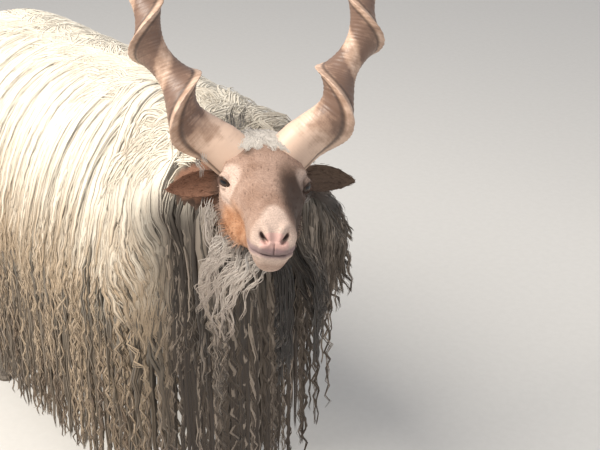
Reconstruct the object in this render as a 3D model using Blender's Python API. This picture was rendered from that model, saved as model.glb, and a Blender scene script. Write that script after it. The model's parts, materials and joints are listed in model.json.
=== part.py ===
"""A racka ram, life size, standing with its head turned to its right and its nose raised.

Metres, +Z up. The ram walks towards +X and its left side is +Y. The origin lies on the floor,
under the middle of the whole animal. Every node is one closed solid, and nodes that grow from
one another meet face to face with a gap of GAP.
"""

import math
import random

import bmesh
import bpy
import numpy as np
from mathutils import Matrix, Vector
from mathutils.bvhtree import BVHTree

# Driving dimensions
GAP = 0.0003
SIDES = ((1, "left"), (-1, "right"))
DOWN = Vector((0, 0, -1))
EYE_RADIUS = 0.0145
HOOF_HEIGHT = 0.045
HORN_LENGTH = 0.46
HORN_PITCH = 0.122
HORN_STRAIGHT = 0.080
HORN_RADIUS = 0.0365
HORN_SWING = 0.013
MOUTH_CORNER = 0.098
MOUTH_DROP = -0.032
EAR_LENGTH = 0.112
EAR_WIDTH = 0.050

# Where the head is held: the point between the eyes, and how the head is turned and pitched.
# The face alone also leans a little to its left, under horns that stand level
EYE_MID = np.array([0.565, -0.050, 0.692])
HEAD_TURN = math.radians(-33)
HEAD_PITCH = math.radians(4)
FACE_LEAN = math.radians(7)

# Colours of each finish: base colour, roughness
WOOL = (0.78, 0.71, 0.60), 0.95
SHORT_COAT = (0.60, 0.42, 0.31), 0.85
HORN = (0.48, 0.37, 0.28), 0.45
HOOF = (0.13, 0.11, 0.09), 0.5
EYE = (0.05, 0.03, 0.02), 0.1

# Trunk under the long coat: x, top z, bottom z, half width
TRUNK = [
    (-0.405, 0.640, 0.540, 0.030),
    (-0.370, 0.710, 0.465, 0.095),
    (-0.280, 0.752, 0.410, 0.142),
    (-0.100, 0.748, 0.375, 0.168),
    (0.100, 0.748, 0.358, 0.168),
    (0.220, 0.744, 0.350, 0.165),
    (0.320, 0.708, 0.362, 0.155),
    (0.395, 0.630, 0.395, 0.120),
    (0.436, 0.565, 0.455, 0.040),
]
# Neck under the mane: x, y of the middle, top z, bottom z, half width
NECK = [
    (0.240, 0.000, 0.728, 0.420, 0.095),
    (0.310, 0.000, 0.726, 0.450, 0.122),
    (0.380, 0.000, 0.718, 0.500, 0.122),
    (0.440, -0.004, 0.716, 0.540, 0.096),
    (0.482, -0.014, 0.710, 0.575, 0.060),
    (0.514, -0.026, 0.680, 0.610, 0.028),
]
# Locks of the coat: how long they are, how wide and thick, and how deep their roots are sunk
LOCK_LENGTH = 0.285
LOCK = (0.074, 0.009)
LOCK_SINK = 0.012
LOCK_RINGS = 6
LOCK_WAVE = 0.008
LOCK_SPACING = 0.071
# Rows of roots round the trunk, from the belly up: height of the row. The last row of all runs
# along the parting of the back, at an angle from straight up
TRUNK_ROWS = [0.435, 0.510, 0.585, 0.660]
PARTING_ANGLE = 7
PARTING_ENDS = (-0.36, 0.30)
# Rows of roots on the neck, from the throat up to the crest: angle from straight up
NECK_ROWS = [164, 132, 98, 60, 20]
NECK_LOCKS_A_ROW = 3
# Rows of roots on the tail, as shares of its length, and the size of its locks
TAIL_ROWS = [0.62, 0.42, 0.18]
TAIL_LOCKS_A_ROW = 4
TAIL_LENGTH = 0.200
TAIL_LOCK = (0.040, 0.007)
# Tuft between the horns: places along the head, and the size of its locks
TUFT_ROWS = [(-0.066, 3), (-0.088, 4)]
TUFT_LENGTH = 0.062
TUFT_LOCK = (0.022, 0.006)
# How far locks stay off a leg that they hang over, and the share of their length that they
# have: the first of these that clears it
LOCK_TRIES = [(0.011, 1.0), (0.018, 1.0), (0.028, 1.0), (0.014, 0.8), (0.028, 0.8), (0.014, 0.65)]
# Depth in the coat: a lock lies near the skin at its root, and a layer further out below the
# roots of each lower row that it passes. Every second lock of a row lies half a layer out
FIRST_LAYER = 0.010
LAYER = 0.0185
HALF_LAYER = 0.0080
# Where the mane takes over from the upper fleece
MANE_START = 0.310

# Head along the face: u, top w, bottom w, half width, all from the point between the eyes
HEAD_STATIONS = [
    (-0.118, 0.000, -0.040, 0.020),
    (-0.108, 0.022, -0.066, 0.042),
    (-0.080, 0.044, -0.094, 0.058),
    (-0.040, 0.050, -0.104, 0.062),
    (0.000, 0.042, -0.096, 0.061),
    (0.040, 0.033, -0.084, 0.050),
    (0.080, 0.026, -0.074, 0.041),
    (0.115, 0.018, -0.070, 0.040),
    (0.138, 0.004, -0.066, 0.037),
    (0.150, -0.012, -0.050, 0.024),
]
# Legs from the shoulder or hip down to the coronet: x, y, z, half length, half width
FRONT_LEG = [
    (0.225, 0.082, 0.430, 0.058, 0.036),
    (0.220, 0.086, 0.350, 0.042, 0.031),
    (0.232, 0.085, 0.275, 0.028, 0.025),
    (0.240, 0.084, 0.235, 0.0285, 0.027),
    (0.237, 0.084, 0.200, 0.0205, 0.020),
    (0.235, 0.085, 0.130, 0.0165, 0.016),
    (0.238, 0.085, 0.095, 0.0225, 0.021),
    (0.250, 0.085, 0.066, 0.0190, 0.0185),
    (0.258, 0.085, 0.046, 0.0250, 0.0225),
]
HIND_LEG = [
    (-0.265, 0.085, 0.440, 0.085, 0.045),
    (-0.280, 0.088, 0.360, 0.064, 0.037),
    (-0.318, 0.090, 0.300, 0.042, 0.029),
    (-0.352, 0.090, 0.252, 0.0325, 0.025),
    (-0.350, 0.090, 0.215, 0.0255, 0.0215),
    (-0.338, 0.090, 0.150, 0.0185, 0.0175),
    (-0.330, 0.090, 0.095, 0.0225, 0.021),
    (-0.318, 0.090, 0.066, 0.0190, 0.0185),
    (-0.310, 0.090, 0.046, 0.0250, 0.0225),
]
# How far the surface that locks slide over runs on above a leg
LEG_INSIDE = 0.13
# How far each foot stands ahead of the plain stance
STANCE = {"front_left": 0.020, "front_right": -0.018, "hind_left": -0.022, "hind_right": 0.024}
# Tail down the middle: x, y, z, radius
TAIL = [
    (-0.365, 0.000, 0.625, 0.028),
    (-0.415, 0.000, 0.632, 0.030),
    (-0.452, 0.000, 0.590, 0.027),
    (-0.468, 0.002, 0.510, 0.025),
    (-0.470, 0.006, 0.430, 0.021),
    (-0.466, 0.010, 0.350, 0.014),
    (-0.464, 0.012, 0.310, 0.005),
]


def material(name, finish):
    """A plain finish for one kind of surface."""
    made = bpy.data.materials.get(name)
    if made is None:
        made = bpy.data.materials.new(name)
        made.use_nodes = True
        shader = made.node_tree.nodes["Principled BSDF"]
        shader.inputs["Base Color"].default_value = (*finish[0], 1.0)
        shader.inputs["Roughness"].default_value = finish[1]
        shader.inputs["Metallic"].default_value = 0.0
    return made


def smooth_rows(rows, count):
    """Rows of numbers, read at count even places from a Catmull-Rom curve through them."""
    rows = np.array(rows, float)
    places = np.linspace(0, len(rows) - 1, count)
    first = np.minimum(places.astype(int), len(rows) - 2)
    t = (places - first)[:, None]
    slopes = np.gradient(rows, axis=0)
    a, b = rows[first], rows[first + 1]
    return (
        a * (1 - t) ** 2 * (1 + 2 * t)
        + b * t**2 * (3 - 2 * t)
        + slopes[first] * t * (1 - t) ** 2
        - slopes[first + 1] * t**2 * (1 - t)
    )


def mesh_object(name, points, faces, finish):
    """A new object from corners and faces, in a finish."""
    mesh = bpy.data.meshes.new(name)
    mesh.from_pydata([tuple(p) for p in points], [], faces)
    mesh.update()
    mesh.shade_smooth()
    mesh.set_sharp_from_angle(angle=math.radians(50))
    mesh.materials.append(material(*finish))
    made = bpy.data.objects.new(name, mesh)
    bpy.context.scene.collection.objects.link(made)
    return made


def loft_faces(rings, sides, lean=False):
    """Triangles of a tube of rings with a fan at each end, facing out where rings turn by the
    right hand about the way the tube runs. The diagonals lean one way or the other."""
    faces = []
    for i in range(rings - 1):
        for j in range(sides):
            k = (j + 1) % sides
            a, b, c, d = i * sides + j, i * sides + k, (i + 1) * sides + k, (i + 1) * sides + j
            faces += [(a, b, d), (b, c, d)] if lean else [(a, b, c), (a, c, d)]
    start, end = rings * sides, rings * sides + 1
    last = (rings - 1) * sides
    for j in range(sides):
        k = (j + 1) % sides
        faces += [(k, j, start), (last + j, last + k, end)]
    return faces


def loft(name, rings, finish, lean=False):
    """A closed tube through rings, an array of (ring, corner, 3)."""
    rings = np.asarray(rings, float)
    points = np.vstack([rings.reshape(-1, 3), rings[0].mean(0), rings[-1].mean(0)])
    return mesh_object(name, points, loft_faces(*rings.shape[:2], lean), finish)


def superellipse(sides, power):
    """Corners of a unit superellipse, turning anticlockwise."""
    angles = np.linspace(0, 2 * math.pi, sides, endpoint=False)
    c, s = np.cos(angles), np.sin(angles)
    return np.sign(c) * np.abs(c) ** (2 / power), np.sign(s) * np.abs(s) ** (2 / power)


def upright_loft(name, stations, count, sides, power, finish):
    """A tube along X whose rings stand upright: stations of x, y, top z, bottom z, half width."""
    rows = smooth_rows(stations, count)
    across, up = superellipse(sides, power)
    x, y, top, bottom, half = rows.T[:, :, None]
    rings = np.stack(
        [
            x + 0 * across,
            y + np.maximum(half, 0.004) * across,
            (top + bottom) / 2 + np.maximum(top - bottom, 0.01) / 2 * up,
        ],
        axis=-1,
    )
    return loft(name, rings, finish)


def path_loft(name, path, radii, sides, finish, first_side=(0, 1, 0)):
    """A tube along a path, with a half size across and a half size the other way at each point."""
    path = np.asarray(path, float)
    ahead = np.gradient(path, axis=0)
    ahead /= np.linalg.norm(ahead, axis=1)[:, None]
    side = np.cross(np.cross(ahead, first_side), ahead)
    side /= np.linalg.norm(side, axis=1)[:, None]
    other = np.cross(ahead, side)
    c, s = superellipse(sides, 2)
    rings = (
        path[:, None]
        + radii[:, 0, None, None] * side[:, None] * c[:, None]
        + radii[:, 1, None, None] * other[:, None] * s[:, None]
    )
    return loft(name, rings, finish)


def ball(name, centre, radii, axes, sides, finish):
    """An ellipsoid with its half sizes along three axes."""
    rings = np.linspace(0, math.pi, sides // 2 + 1)[1:-1]
    turn = np.linspace(0, 2 * math.pi, sides, endpoint=False)
    local = np.stack(
        [
            np.sin(rings)[:, None] * np.cos(turn),
            np.sin(rings)[:, None] * np.sin(turn),
            -np.cos(rings)[:, None] + 0 * turn,
        ],
        axis=-1,
    ).reshape(-1, 3)
    local = np.vstack([local, [0, 0, -1], [0, 0, 1]])
    points = (local * radii) @ np.asarray(axes) + centre
    return mesh_object(name, points, loft_faces(len(rings), sides), finish)


def settle(obj):
    """Applies an object's modifiers and keeps its largest closed surface."""
    bpy.context.view_layer.update()
    graph = bpy.context.evaluated_depsgraph_get()
    mesh = bpy.data.meshes.new_from_object(obj.evaluated_get(graph))
    obj.modifiers.clear()
    obj.data = mesh
    keep_largest(obj)
    return obj


def keep_largest(obj):
    """Drops every closed surface of the mesh but the one that holds most. Faces belong to one
    surface where they share an edge, and every face takes the lowest number in its surface."""
    mesh = obj.data
    faces = [tuple(p.vertices) for p in mesh.polygons]
    edge = np.empty(len(mesh.loops), int)
    mesh.loops.foreach_get("edge_index", edge)
    face = np.repeat(np.arange(len(faces)), [len(f) for f in faces])
    label, before = np.arange(len(faces)), None
    while before is None or (label != before).any():
        before = label.copy()
        lowest = np.full(len(mesh.edges), len(faces))
        np.minimum.at(lowest, edge, label[face])
        np.minimum.at(label, face, lowest[edge])
        label = label[label]
    if not label.any():
        return
    points = np.array([v.co for v in mesh.vertices])
    volumes = np.zeros(len(faces))
    for number, corners in zip(label, faces):
        for i in range(1, len(corners) - 1):
            a, b, c = points[corners[0]], points[corners[i]], points[corners[i + 1]]
            volumes[number] += np.dot(a, np.cross(b, c))
    kept = [f for f, number in zip(faces, label) if number == volumes.argmax()]
    used = sorted({i for f in kept for i in f})
    place = {old: new for new, old in enumerate(used)}
    slim = bpy.data.meshes.new(obj.name)
    slim.from_pydata([tuple(points[i]) for i in used], [], [[place[i] for i in f] for f in kept])
    slim.materials.append(mesh.materials[0])
    slim.update()
    slim.shade_smooth()
    slim.set_sharp_from_angle(angle=math.radians(50))
    obj.data = slim


def combine(obj, others, operation):
    """Joins or cuts an object with a collection of others, which are then removed."""
    if not others:
        return obj
    group = bpy.data.collections.new(obj.name + "_tools")
    for other in others:
        for owner in other.users_collection:
            owner.objects.unlink(other)
        group.objects.link(other)
    bpy.context.scene.collection.children.link(group)
    modifier = obj.modifiers.new(operation.title(), "BOOLEAN")
    modifier.operation = operation
    modifier.operand_type = "COLLECTION"
    modifier.collection = group
    modifier.solver = "MANIFOLD"
    settle(obj)
    for other in others:
        bpy.data.objects.remove(other)
    bpy.data.collections.remove(group)
    return obj


def grown(obj, by):
    """A copy of a solid whose faces have all moved out by a distance."""
    work = bmesh.new()
    work.from_mesh(obj.data)
    work.normal_update()
    shifts = [v.normal * by * min(v.calc_shell_factor(), 3.0) for v in work.verts]
    for vertex, shift in zip(work.verts, shifts):
        vertex.co += shift
    mesh = bpy.data.meshes.new(obj.name + "_grown")
    work.to_mesh(mesh)
    work.free()
    made = bpy.data.objects.new(mesh.name, mesh)
    bpy.context.scene.collection.objects.link(made)
    return made


def clear_of(obj, others, gap=GAP):
    """Cuts an object back from others, leaving the gap that touching solids keep."""
    return combine(obj, [grown(other, gap) for other in others], "DIFFERENCE")


def head_axes(lean=FACE_LEAN):
    """The ways forward along the face, to the ram's left, and up through the brow."""
    level = np.array([math.cos(HEAD_TURN), math.sin(HEAD_TURN), 0.0])
    left = np.array([-level[1], level[0], 0.0])
    ahead = level * math.cos(HEAD_PITCH) - np.array([0, 0, math.sin(HEAD_PITCH)])
    left = left * math.cos(lean) - np.cross(ahead, left) * math.sin(lean)
    return np.array([ahead, left, np.cross(ahead, left)])


def on_head(u, v, w, lean=FACE_LEAN):
    """A place given along the face, to the left and up, in the ram's frame."""
    return EYE_MID + np.stack(np.broadcast_arrays(u, v, w), axis=-1) @ head_axes(lean)


def head_shape(count, sides):
    """The head as a tube along the face, wider at the brow than at the jaw."""
    u, top, bottom, half = smooth_rows(HEAD_STATIONS, count).T[:, :, None]
    across, up = superellipse(sides, 2.3)
    wider = 1 + 0.16 * up
    return on_head(u + 0 * across, half * across * wider, (top + bottom) / 2 + (top - bottom) / 2 * up)


def mouth_line(head):
    """The middle of the groove between the lips: where a level fan of rays from inside the
    muzzle leaves it."""
    surface = BVHTree.FromPolygons(
        [v.co for v in head.data.vertices], [list(p.vertices) for p in head.data.polygons]
    )
    inside = Vector(on_head(MOUTH_CORNER, 0.0, MOUTH_DROP))
    line = []
    for angle in np.linspace(-1.45, 1.45, 15):
        way = Vector([math.cos(angle), math.sin(angle), -0.12 * math.sin(angle) ** 2] @ head_axes())
        line.append(surface.ray_cast(inside, way)[0])
    return np.array(line)


def eye_centre(side):
    return on_head(0.0, side * 0.0530, 0.002)


def build_head(horns, chance):
    """The head with its lids, nostrils, the line of the mouth and the tuft between the horns."""
    short = ("short_coat", SHORT_COAT)
    axes = head_axes()
    head = loft("head", head_shape(18, 20), short)
    lids = [ball("lid", eye_centre(side), (0.0205, 0.0182, 0.0170), axes, 14, short) for side in (-1, 1)]
    combine(head, lids, "UNION")
    cutters = []
    for side in (-1, 1):
        out = axes[1] * side + 0.45 * axes[0]
        cutters.append(ball("socket", eye_centre(side), (EYE_RADIUS + GAP,) * 3, axes, 14, short))
        slit = eye_centre(side) + 0.017 * out
        cutters.append(ball("slit", slit, (0.0115, 0.010, 0.0065), axes, 12, short))
        nostril = on_head(0.1415, side * 0.0165, -0.010)
        tilt = Matrix.Rotation(side * 0.6, 3, "X") @ Matrix.Rotation(0.5, 3, "Y")
        slant = np.array(tilt.transposed()) @ axes
        cutters.append(ball("nostril", nostril, (0.010, 0.0085, 0.0042), slant, 10, short))
    line = mouth_line(head)
    cutters.append(path_loft("mouth", line, np.full((len(line), 2), 0.0022), 4, short, axes[2]))
    combine(head, cutters, "DIFFERENCE")
    tuft = grow_locks("tuft", tuft_locks(head, chance), TUFT_LOCK)
    for hair in tuft:
        clear_of(hair, horns, 2 * GAP)
    return combine(head, tuft, "UNION")


def horn_rings(side, count, sides):
    """A tapering corkscrew: a line that swings from outwards to upwards, wound round itself,
    with a section that has a keel on its outer side."""
    t = np.linspace(0, 1, count)
    start = np.array([-0.20, side * 0.70, 0.62])
    end = np.array([-0.42, side * 0.30, 0.80])
    turned = np.clip((t - 0.14) / 0.22, 0, 1)[:, None]
    way = start + (end - start) * turned * turned * (3 - 2 * turned)
    way /= np.linalg.norm(way, axis=1)[:, None]
    step = HORN_LENGTH / (count - 1)
    line = np.vstack([np.zeros(3), np.cumsum((way[1:] + way[:-1]) / 2 * step, axis=0)])
    line += np.array([-0.046, side * 0.033, 0.022])
    across = np.cross(way, [1.0, 0, 0])
    across /= np.linalg.norm(across, axis=1)[:, None]
    other = np.cross(way, across)
    late = 0.02 * np.log1p(np.exp((t * HORN_LENGTH - HORN_STRAIGHT) / 0.02))
    turn = 2 * math.pi * late / HORN_PITCH - 0.35
    phase = (-side * turn + (0 if side > 0 else math.pi))[:, None]
    out = np.cos(phase) * across + np.sin(phase) * other
    flank = np.cross(way, out)
    size = (HORN_RADIUS * (1 - t) ** 0.58 + 0.0015)[:, None, None]
    swing = (HORN_SWING * np.clip((t - 0.08) / 0.15, 0, 1) * (1 - t) ** 0.7)[:, None]
    centre = line + swing * out
    angle = np.linspace(0, 2 * math.pi, sides, endpoint=False)
    from_keel = np.minimum(angle, 2 * math.pi - angle)
    long = np.where(np.cos(angle) > 0, 1.02, 0.84) * np.cos(angle)
    long += 0.26 * np.exp(-((from_keel / 0.38) ** 2))
    wide = 0.80 * np.sin(angle)
    local = (
        centre[:, None] + size * long[:, None] * out[:, None] + size * wide[:, None] * flank[:, None]
    )
    return on_head(local[..., 0], local[..., 1], local[..., 2], 0)


def ear_rings(side, count, half_sides):
    """A leaf with a hollow front: each ring is a thin crescent across the ear."""
    s = np.linspace(0, 1, count)[:, None]
    root = np.array([-0.050, side * 0.040, -0.020])
    way = np.array([-0.20, side * 0.97, -0.02])
    way /= np.linalg.norm(way)
    front = np.array([0.86, side * 0.20, 0.10])
    front -= way * front.dot(way)
    front /= np.linalg.norm(front)
    up = np.cross(front, way) * side
    half = EAR_WIDTH / 2 * np.sin(math.pi * np.clip(0.14 + 0.86 * s, 0, 1) ** 1.15) ** 0.8 + 0.0008
    cup = 0.55 * half * (1 - 0.55 * s)
    thick = 0.0030 - 0.0016 * s
    j = np.linspace(-1, 1, half_sides)
    bend = 1 - j**2
    rim = np.sqrt(np.clip(1 - 0.93 * j**2, 0, 1))
    back = np.stack(np.broadcast_arrays(half * j, -cup * bend - thick * rim), -1)
    hollow = np.stack(np.broadcast_arrays(half * j[::-1], -cup * bend + thick * rim), -1)
    outline = np.concatenate([back, hollow], axis=1)
    line = root + way * EAR_LENGTH * s + np.array([0.012, 0, -0.010]) * s**2
    local = line[:, None] + outline[..., :1] * up + outline[..., 1:] * front
    if side < 0:
        local = local[:, ::-1]
    return on_head(local[..., 0], local[..., 1], local[..., 2], 0)


def build_leg(name, stations, side, ahead):
    """A leg from inside the trunk to the coronet, its foot set ahead of the plain stance."""
    rows = smooth_rows(stations, 14)
    reach = np.clip((0.44 - rows[:, 2]) / 0.39, 0, 1)
    path = np.stack([rows[:, 0] + ahead * reach, side * rows[:, 1], rows[:, 2]], axis=1)
    radii = np.stack([rows[:, 3], rows[:, 4]], axis=1)
    return path_loft(name, path, radii, 10, ("short_coat", SHORT_COAT), (1, 0, 0))


def build_limbs(torso, side, word):
    """The front and hind leg of one side, each with its hoof. For the locks comes a surface to
    slide over, which runs on up inside the trunk, and the leg's own to keep clear of."""
    made, surfaces = [], []
    for place, stations in (("front", FRONT_LEG), ("hind", HIND_LEG)):
        ahead = STANCE[f"{place}_{word}"]
        hoof = build_hoof(f"hoof_{place}_{word}", stations, side, ahead)
        leg = build_leg(f"leg_{place}_{word}", stations, side, ahead)
        x, y, z, long, wide = stations[0]
        upper = (x, 0.6 * y, z + LEG_INSIDE, 0.6 * long, 0.5 * wide)
        tall = build_leg("tall", [upper, *stations], side, ahead)
        whole = surface_of(tall)
        bpy.data.objects.remove(tall)
        made += [hoof, clear_of(leg, [torso, hoof])]
        surfaces.append((whole, surface_of(leg)))
    return made, surfaces


def build_hoof(name, stations, side, ahead):
    """A cloven hoof: two claws joined at the top, flat underneath."""
    x, y = stations[-1][0] + ahead, side * stations[-1][1]
    levels = np.array([HOOF_HEIGHT, 0.030, 0.012, 0.0])
    grow = np.array([0.86, 0.97, 1.08, 1.12])
    shift = np.array([0.000, 0.004, 0.010, 0.013])
    c, s = superellipse(16, 2.5)
    rings = np.stack(
        [
            x + shift[:, None] + 0.0290 * grow[:, None] * c,
            y + 0.0235 * grow[:, None] * s,
            levels[:, None] + 0 * c,
        ],
        axis=-1,
    )
    hoof = loft(name, rings[::-1], ("hoof", HOOF))
    cleft = [(x + 0.060, -0.010), (x - 0.004, -0.010), (x + 0.002, 0.026), (x + 0.060, 0.044)]
    points = [(a, y + k * 0.0022, z) for k in (-1, 1) for a, z in cleft]
    faces = [(0, 1, 2, 3), (7, 6, 5, 4)] + [(i, i + 4, (i + 1) % 4 + 4, (i + 1) % 4) for i in range(4)]
    return combine(hoof, [mesh_object("cleft", points, faces, ("hoof", HOOF))], "DIFFERENCE")


def surface_of(obj):
    """A search tree over an object's surface."""
    mesh = obj.data
    return BVHTree.FromPolygons([v.co for v in mesh.vertices], [list(p.vertices) for p in mesh.polygons])


def eased(rows, reach):
    """Each row made the mean of its neighbours on both sides, the ends kept in place."""
    rows = np.array(rows)
    near = np.arange(-reach, reach + 1)[:, None] + np.arange(len(rows))
    smooth = rows[np.clip(near, 0, len(rows) - 1)].mean(0)
    smooth[0] = rows[0]
    return smooth


def crosses_itself(points, faces):
    """Whether faces of a mesh that share no corner meet."""
    tree = BVHTree.FromPolygons([Vector(p) for p in points], faces)
    return any(not set(faces[a]) & set(faces[b]) for a, b in tree.overlap(tree))


def fall(root, normal, lay, surfaces, length):
    """The way a lock takes: out of the skin at its root, then down under its own weight, sliding
    over each surface at its own depth above it. Each surface comes with the depth at the root
    and the levels of the lower rows. Gives points, and the way out at each."""
    step = 0.006
    place, out = root - normal * LOCK_SINK, normal.copy()
    line, outs = [place.copy()], [out.copy()]
    place = root + normal * 0.004
    travelled = 0.0
    while travelled < length:
        way = DOWN + lay * max(0.0, 1 - travelled / 0.12)
        for surface, depth, levels in surfaces:
            near, facing, _, away = surface.find_nearest(place)
            passed = sum(min(1.0, max(0.0, 0.5 + (level - place.z) / 0.05)) for level in levels)
            wanted = (depth + LAYER * passed) * min(1.0, 0.4 + travelled / 0.05)
            short = wanted - (place - near).dot(facing)
            if short > -0.004 and away < wanted + 0.05:
                way -= facing * min(way.dot(facing), 0)
                way += facing * max(-0.5, min(short * 45, 2.2))
                out = (out + facing * 0.35).normalized()
        place = place + way.normalized() * step
        travelled += step
        line.append(place.copy())
        outs.append(out.copy())
    return eased(line, 2), eased(outs, 7)


def lock_shape(fallen, width, thickness, phase, grow=0.0):
    """Points and faces of a flat tapered lock along its way: flat inside, ridged outside,
    swaying from side to side, and drawn to a point. A lock grown for cutting has each face
    moved out by the same amount, so its thin edges and its tip reach further."""
    line, outs = fallen
    picks = np.linspace(0, len(line) - 1, LOCK_RINGS + 1).round().astype(int)
    s = np.linspace(0, 1, LOCK_RINGS + 1)[:, None]
    ahead = np.gradient(line, axis=0)[picks]
    ahead /= np.linalg.norm(ahead, axis=1)[:, None]
    across = np.cross(ahead, outs[picks])
    across[0] = across[1]
    across /= np.linalg.norm(across, axis=1)[:, None]
    out = np.cross(across, ahead)
    sway = LOCK_WAVE * np.sin(2 * math.pi * 2.2 * s + phase) * np.minimum(4 * s, 1)
    middle = line[picks] + across * sway
    half = width / 2 * np.minimum(0.62 + 1.6 * s, 1) * (1 - s**3.2) ** 0.8
    thick = thickness * (1 - 0.75 * s**2)
    half = half * (1 + 2.1 * grow / thick) + grow
    inner = middle - out * (0.34 * thick + grow)
    ridge = middle + out * (0.66 * thick + 1.1 * grow)
    rings = np.stack([inner + across * half, inner - across * half, ridge], 1)
    points = np.vstack([rings[:-1].reshape(-1, 3), middle[-1:] + ahead[-1:] * 10 * grow])
    faces = [(0, 2, 1)]
    for i in range(LOCK_RINGS - 1):
        for j in range(3):
            k = (j + 1) % 3
            a, b, c, d = 3 * i + j, 3 * i + k, 3 * i + k + 3, 3 * i + j + 3
            faces += [(a, c, d), (a, b, c)]
    last, tip = 3 * (LOCK_RINGS - 1), 3 * LOCK_RINGS
    faces += [(last + j, last + (j + 1) % 3, tip) for j in range(3)]
    return points, faces


def clear_fall(root, normal, lay, layers, length, legs, size, phase):
    """A lock's way down that keeps clear of the legs and of itself, or nothing where none does."""
    for off, share in LOCK_TRIES:
        over = [(whole, off, []) for whole, _ in legs]
        way = fall(root, normal, lay, layers + over, length * share)
        points, faces = lock_shape(way, *size, phase, GAP)
        body = BVHTree.FromPolygons([Vector(p) for p in points], faces)
        if not crosses_itself(points, faces) and not any(body.overlap(leg) for _, leg in legs):
            return way
    return None


def round_the_trunk(surface, level):
    """Places on the trunk at one height, evenly spaced round it, with the way out at each."""
    hits = []
    for turn in np.linspace(0, 2 * math.pi, 240, endpoint=False):
        x, y = 0.42 * math.cos(turn), 0.20 * math.sin(turn)
        axis = Vector((np.clip(x, -0.26, 0.24), 0, level))
        hits.append(surface.ray_cast(axis, Vector((x, y, level)) - axis)[:2])
    places = np.array([place for place, _ in hits])
    gaps = np.linalg.norm(np.roll(places, -1, axis=0) - places, axis=1)
    walked = np.concatenate([[0], np.cumsum(gaps)])
    count = 2 * round(walked[-1] / LOCK_SPACING / 2)
    wanted = (np.arange(count) + 0.5) * walked[-1] / count
    return [hits[i - 1] for i in np.searchsorted(walked, wanted)]


def trunk_locks(core, legs, chance):
    """Falls of the trunk's locks: rows round the body, then the row along the parting."""
    surface = surface_of(core)
    falls = []
    for row, level in enumerate(TRUNK_ROWS):
        for i, (root, normal) in enumerate(round_the_trunk(surface, level)):
            if row >= 3 and root.x > MANE_START:
                continue
            if root.x < -0.33 and abs(root.y) < 0.055:
                continue
            depth = FIRST_LAYER + HALF_LAYER * (i % 2)
            length, phase = LOCK_LENGTH * chance.uniform(0.86, 1.06), chance.uniform(0, 6.28)
            layers = [(surface, depth, TRUNK_ROWS[:row])]
            way = clear_fall(root, normal, Vector((-0.1, 0, 0)), layers, length, legs, LOCK, phase)
            if way:
                falls.append((way, phase))
    count = round((PARTING_ENDS[1] - PARTING_ENDS[0]) / LOCK_SPACING)
    slope = math.radians(PARTING_ANGLE)
    for side in (-1, 1):
        for i, x in enumerate(np.linspace(*PARTING_ENDS, count)):
            up = Vector((0, side * math.sin(slope), math.cos(slope)))
            middle = Vector((x + side * LOCK_SPACING / 4, 0, 0.6))
            root, normal, _, _ = surface.ray_cast(middle, up)
            depth = FIRST_LAYER + HALF_LAYER * (i % 2)
            length, phase = LOCK_LENGTH * chance.uniform(0.92, 1.08), chance.uniform(0, 6.28)
            lay = Vector((-0.1, 0.9 * side, 0))
            way = clear_fall(root, normal, lay, [(surface, depth, TRUNK_ROWS)], length, legs, LOCK, phase)
            if way:
                falls.append((way, phase))
    return falls


def neck_locks(core, trunk, legs, ears, chance):
    """Falls of the mane's locks: rows along the neck, hanging clear of the trunk's locks. Those
    that would cover an ear are left out."""
    surface, below = surface_of(core), surface_of(trunk)
    keep_off = [surface_of(ear) for ear in ears]
    falls, levels = [], []
    for row, angle in enumerate(NECK_ROWS):
        crest = row == len(NECK_ROWS) - 1
        for side in (-1, 1):
            for i in range(NECK_LOCKS_A_ROW):
                t = (i + 0.5 + chance.uniform(-0.1, 0.1)) / NECK_LOCKS_A_ROW
                a = math.radians(angle + chance.uniform(-4, 4))
                axis = Vector((0.335 + 0.145 * t, -0.014 * t, 0.605 + 0.045 * t))
                root, normal, _, _ = surface.ray_cast(axis, Vector((0, side * math.sin(a), math.cos(a))))
                near, facing, _, _ = below.find_nearest(root)
                if (root - near).dot(facing) < 0.012:
                    continue
                depth = FIRST_LAYER + HALF_LAYER * (i % 2)
                layers = [(surface, depth, levels[:]), (below, depth, TRUNK_ROWS[:3] + levels)]
                length, phase = LOCK_LENGTH * chance.uniform(0.85, 1.02), chance.uniform(0, 6.28)
                lay = Vector((0.10, 0.8 * side * crest, 0))
                way = clear_fall(root, normal, lay, layers, length, legs, LOCK, phase)
                places = [Vector(place) for place in way[0][::3]] if way else []
                covered = [ear for ear in keep_off for p in places if ear.find_nearest(p, 0.024)[0]]
                if way and not covered:
                    falls.append((way, phase))
        levels.append(root.z)
    return falls


def tail_locks(core, legs, chance):
    """Falls of the tail's locks: rings of roots down the tail."""
    surface = surface_of(core)
    path = np.array([row[:3] for row in smooth_rows(TAIL, 101)])
    falls, levels = [], []
    for row, share in enumerate(TAIL_ROWS):
        middle = Vector(path[int(100 * share)])
        for i in range(TAIL_LOCKS_A_ROW):
            angle = 2 * math.pi * (i + 0.5 * (row % 2)) / TAIL_LOCKS_A_ROW
            out = Vector((-math.cos(angle), math.sin(angle), 0.25))
            root, normal, _, _ = surface.ray_cast(middle, out)
            length, phase = TAIL_LENGTH * chance.uniform(0.85, 1.1), chance.uniform(0, 6.28)
            layers = [(surface, 0.005, levels[:])]
            way = clear_fall(root, normal, Vector(), layers, length, legs, TAIL_LOCK, phase)
            if way:
                falls.append((way, phase))
        levels.append(middle.z)
    return falls


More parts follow.
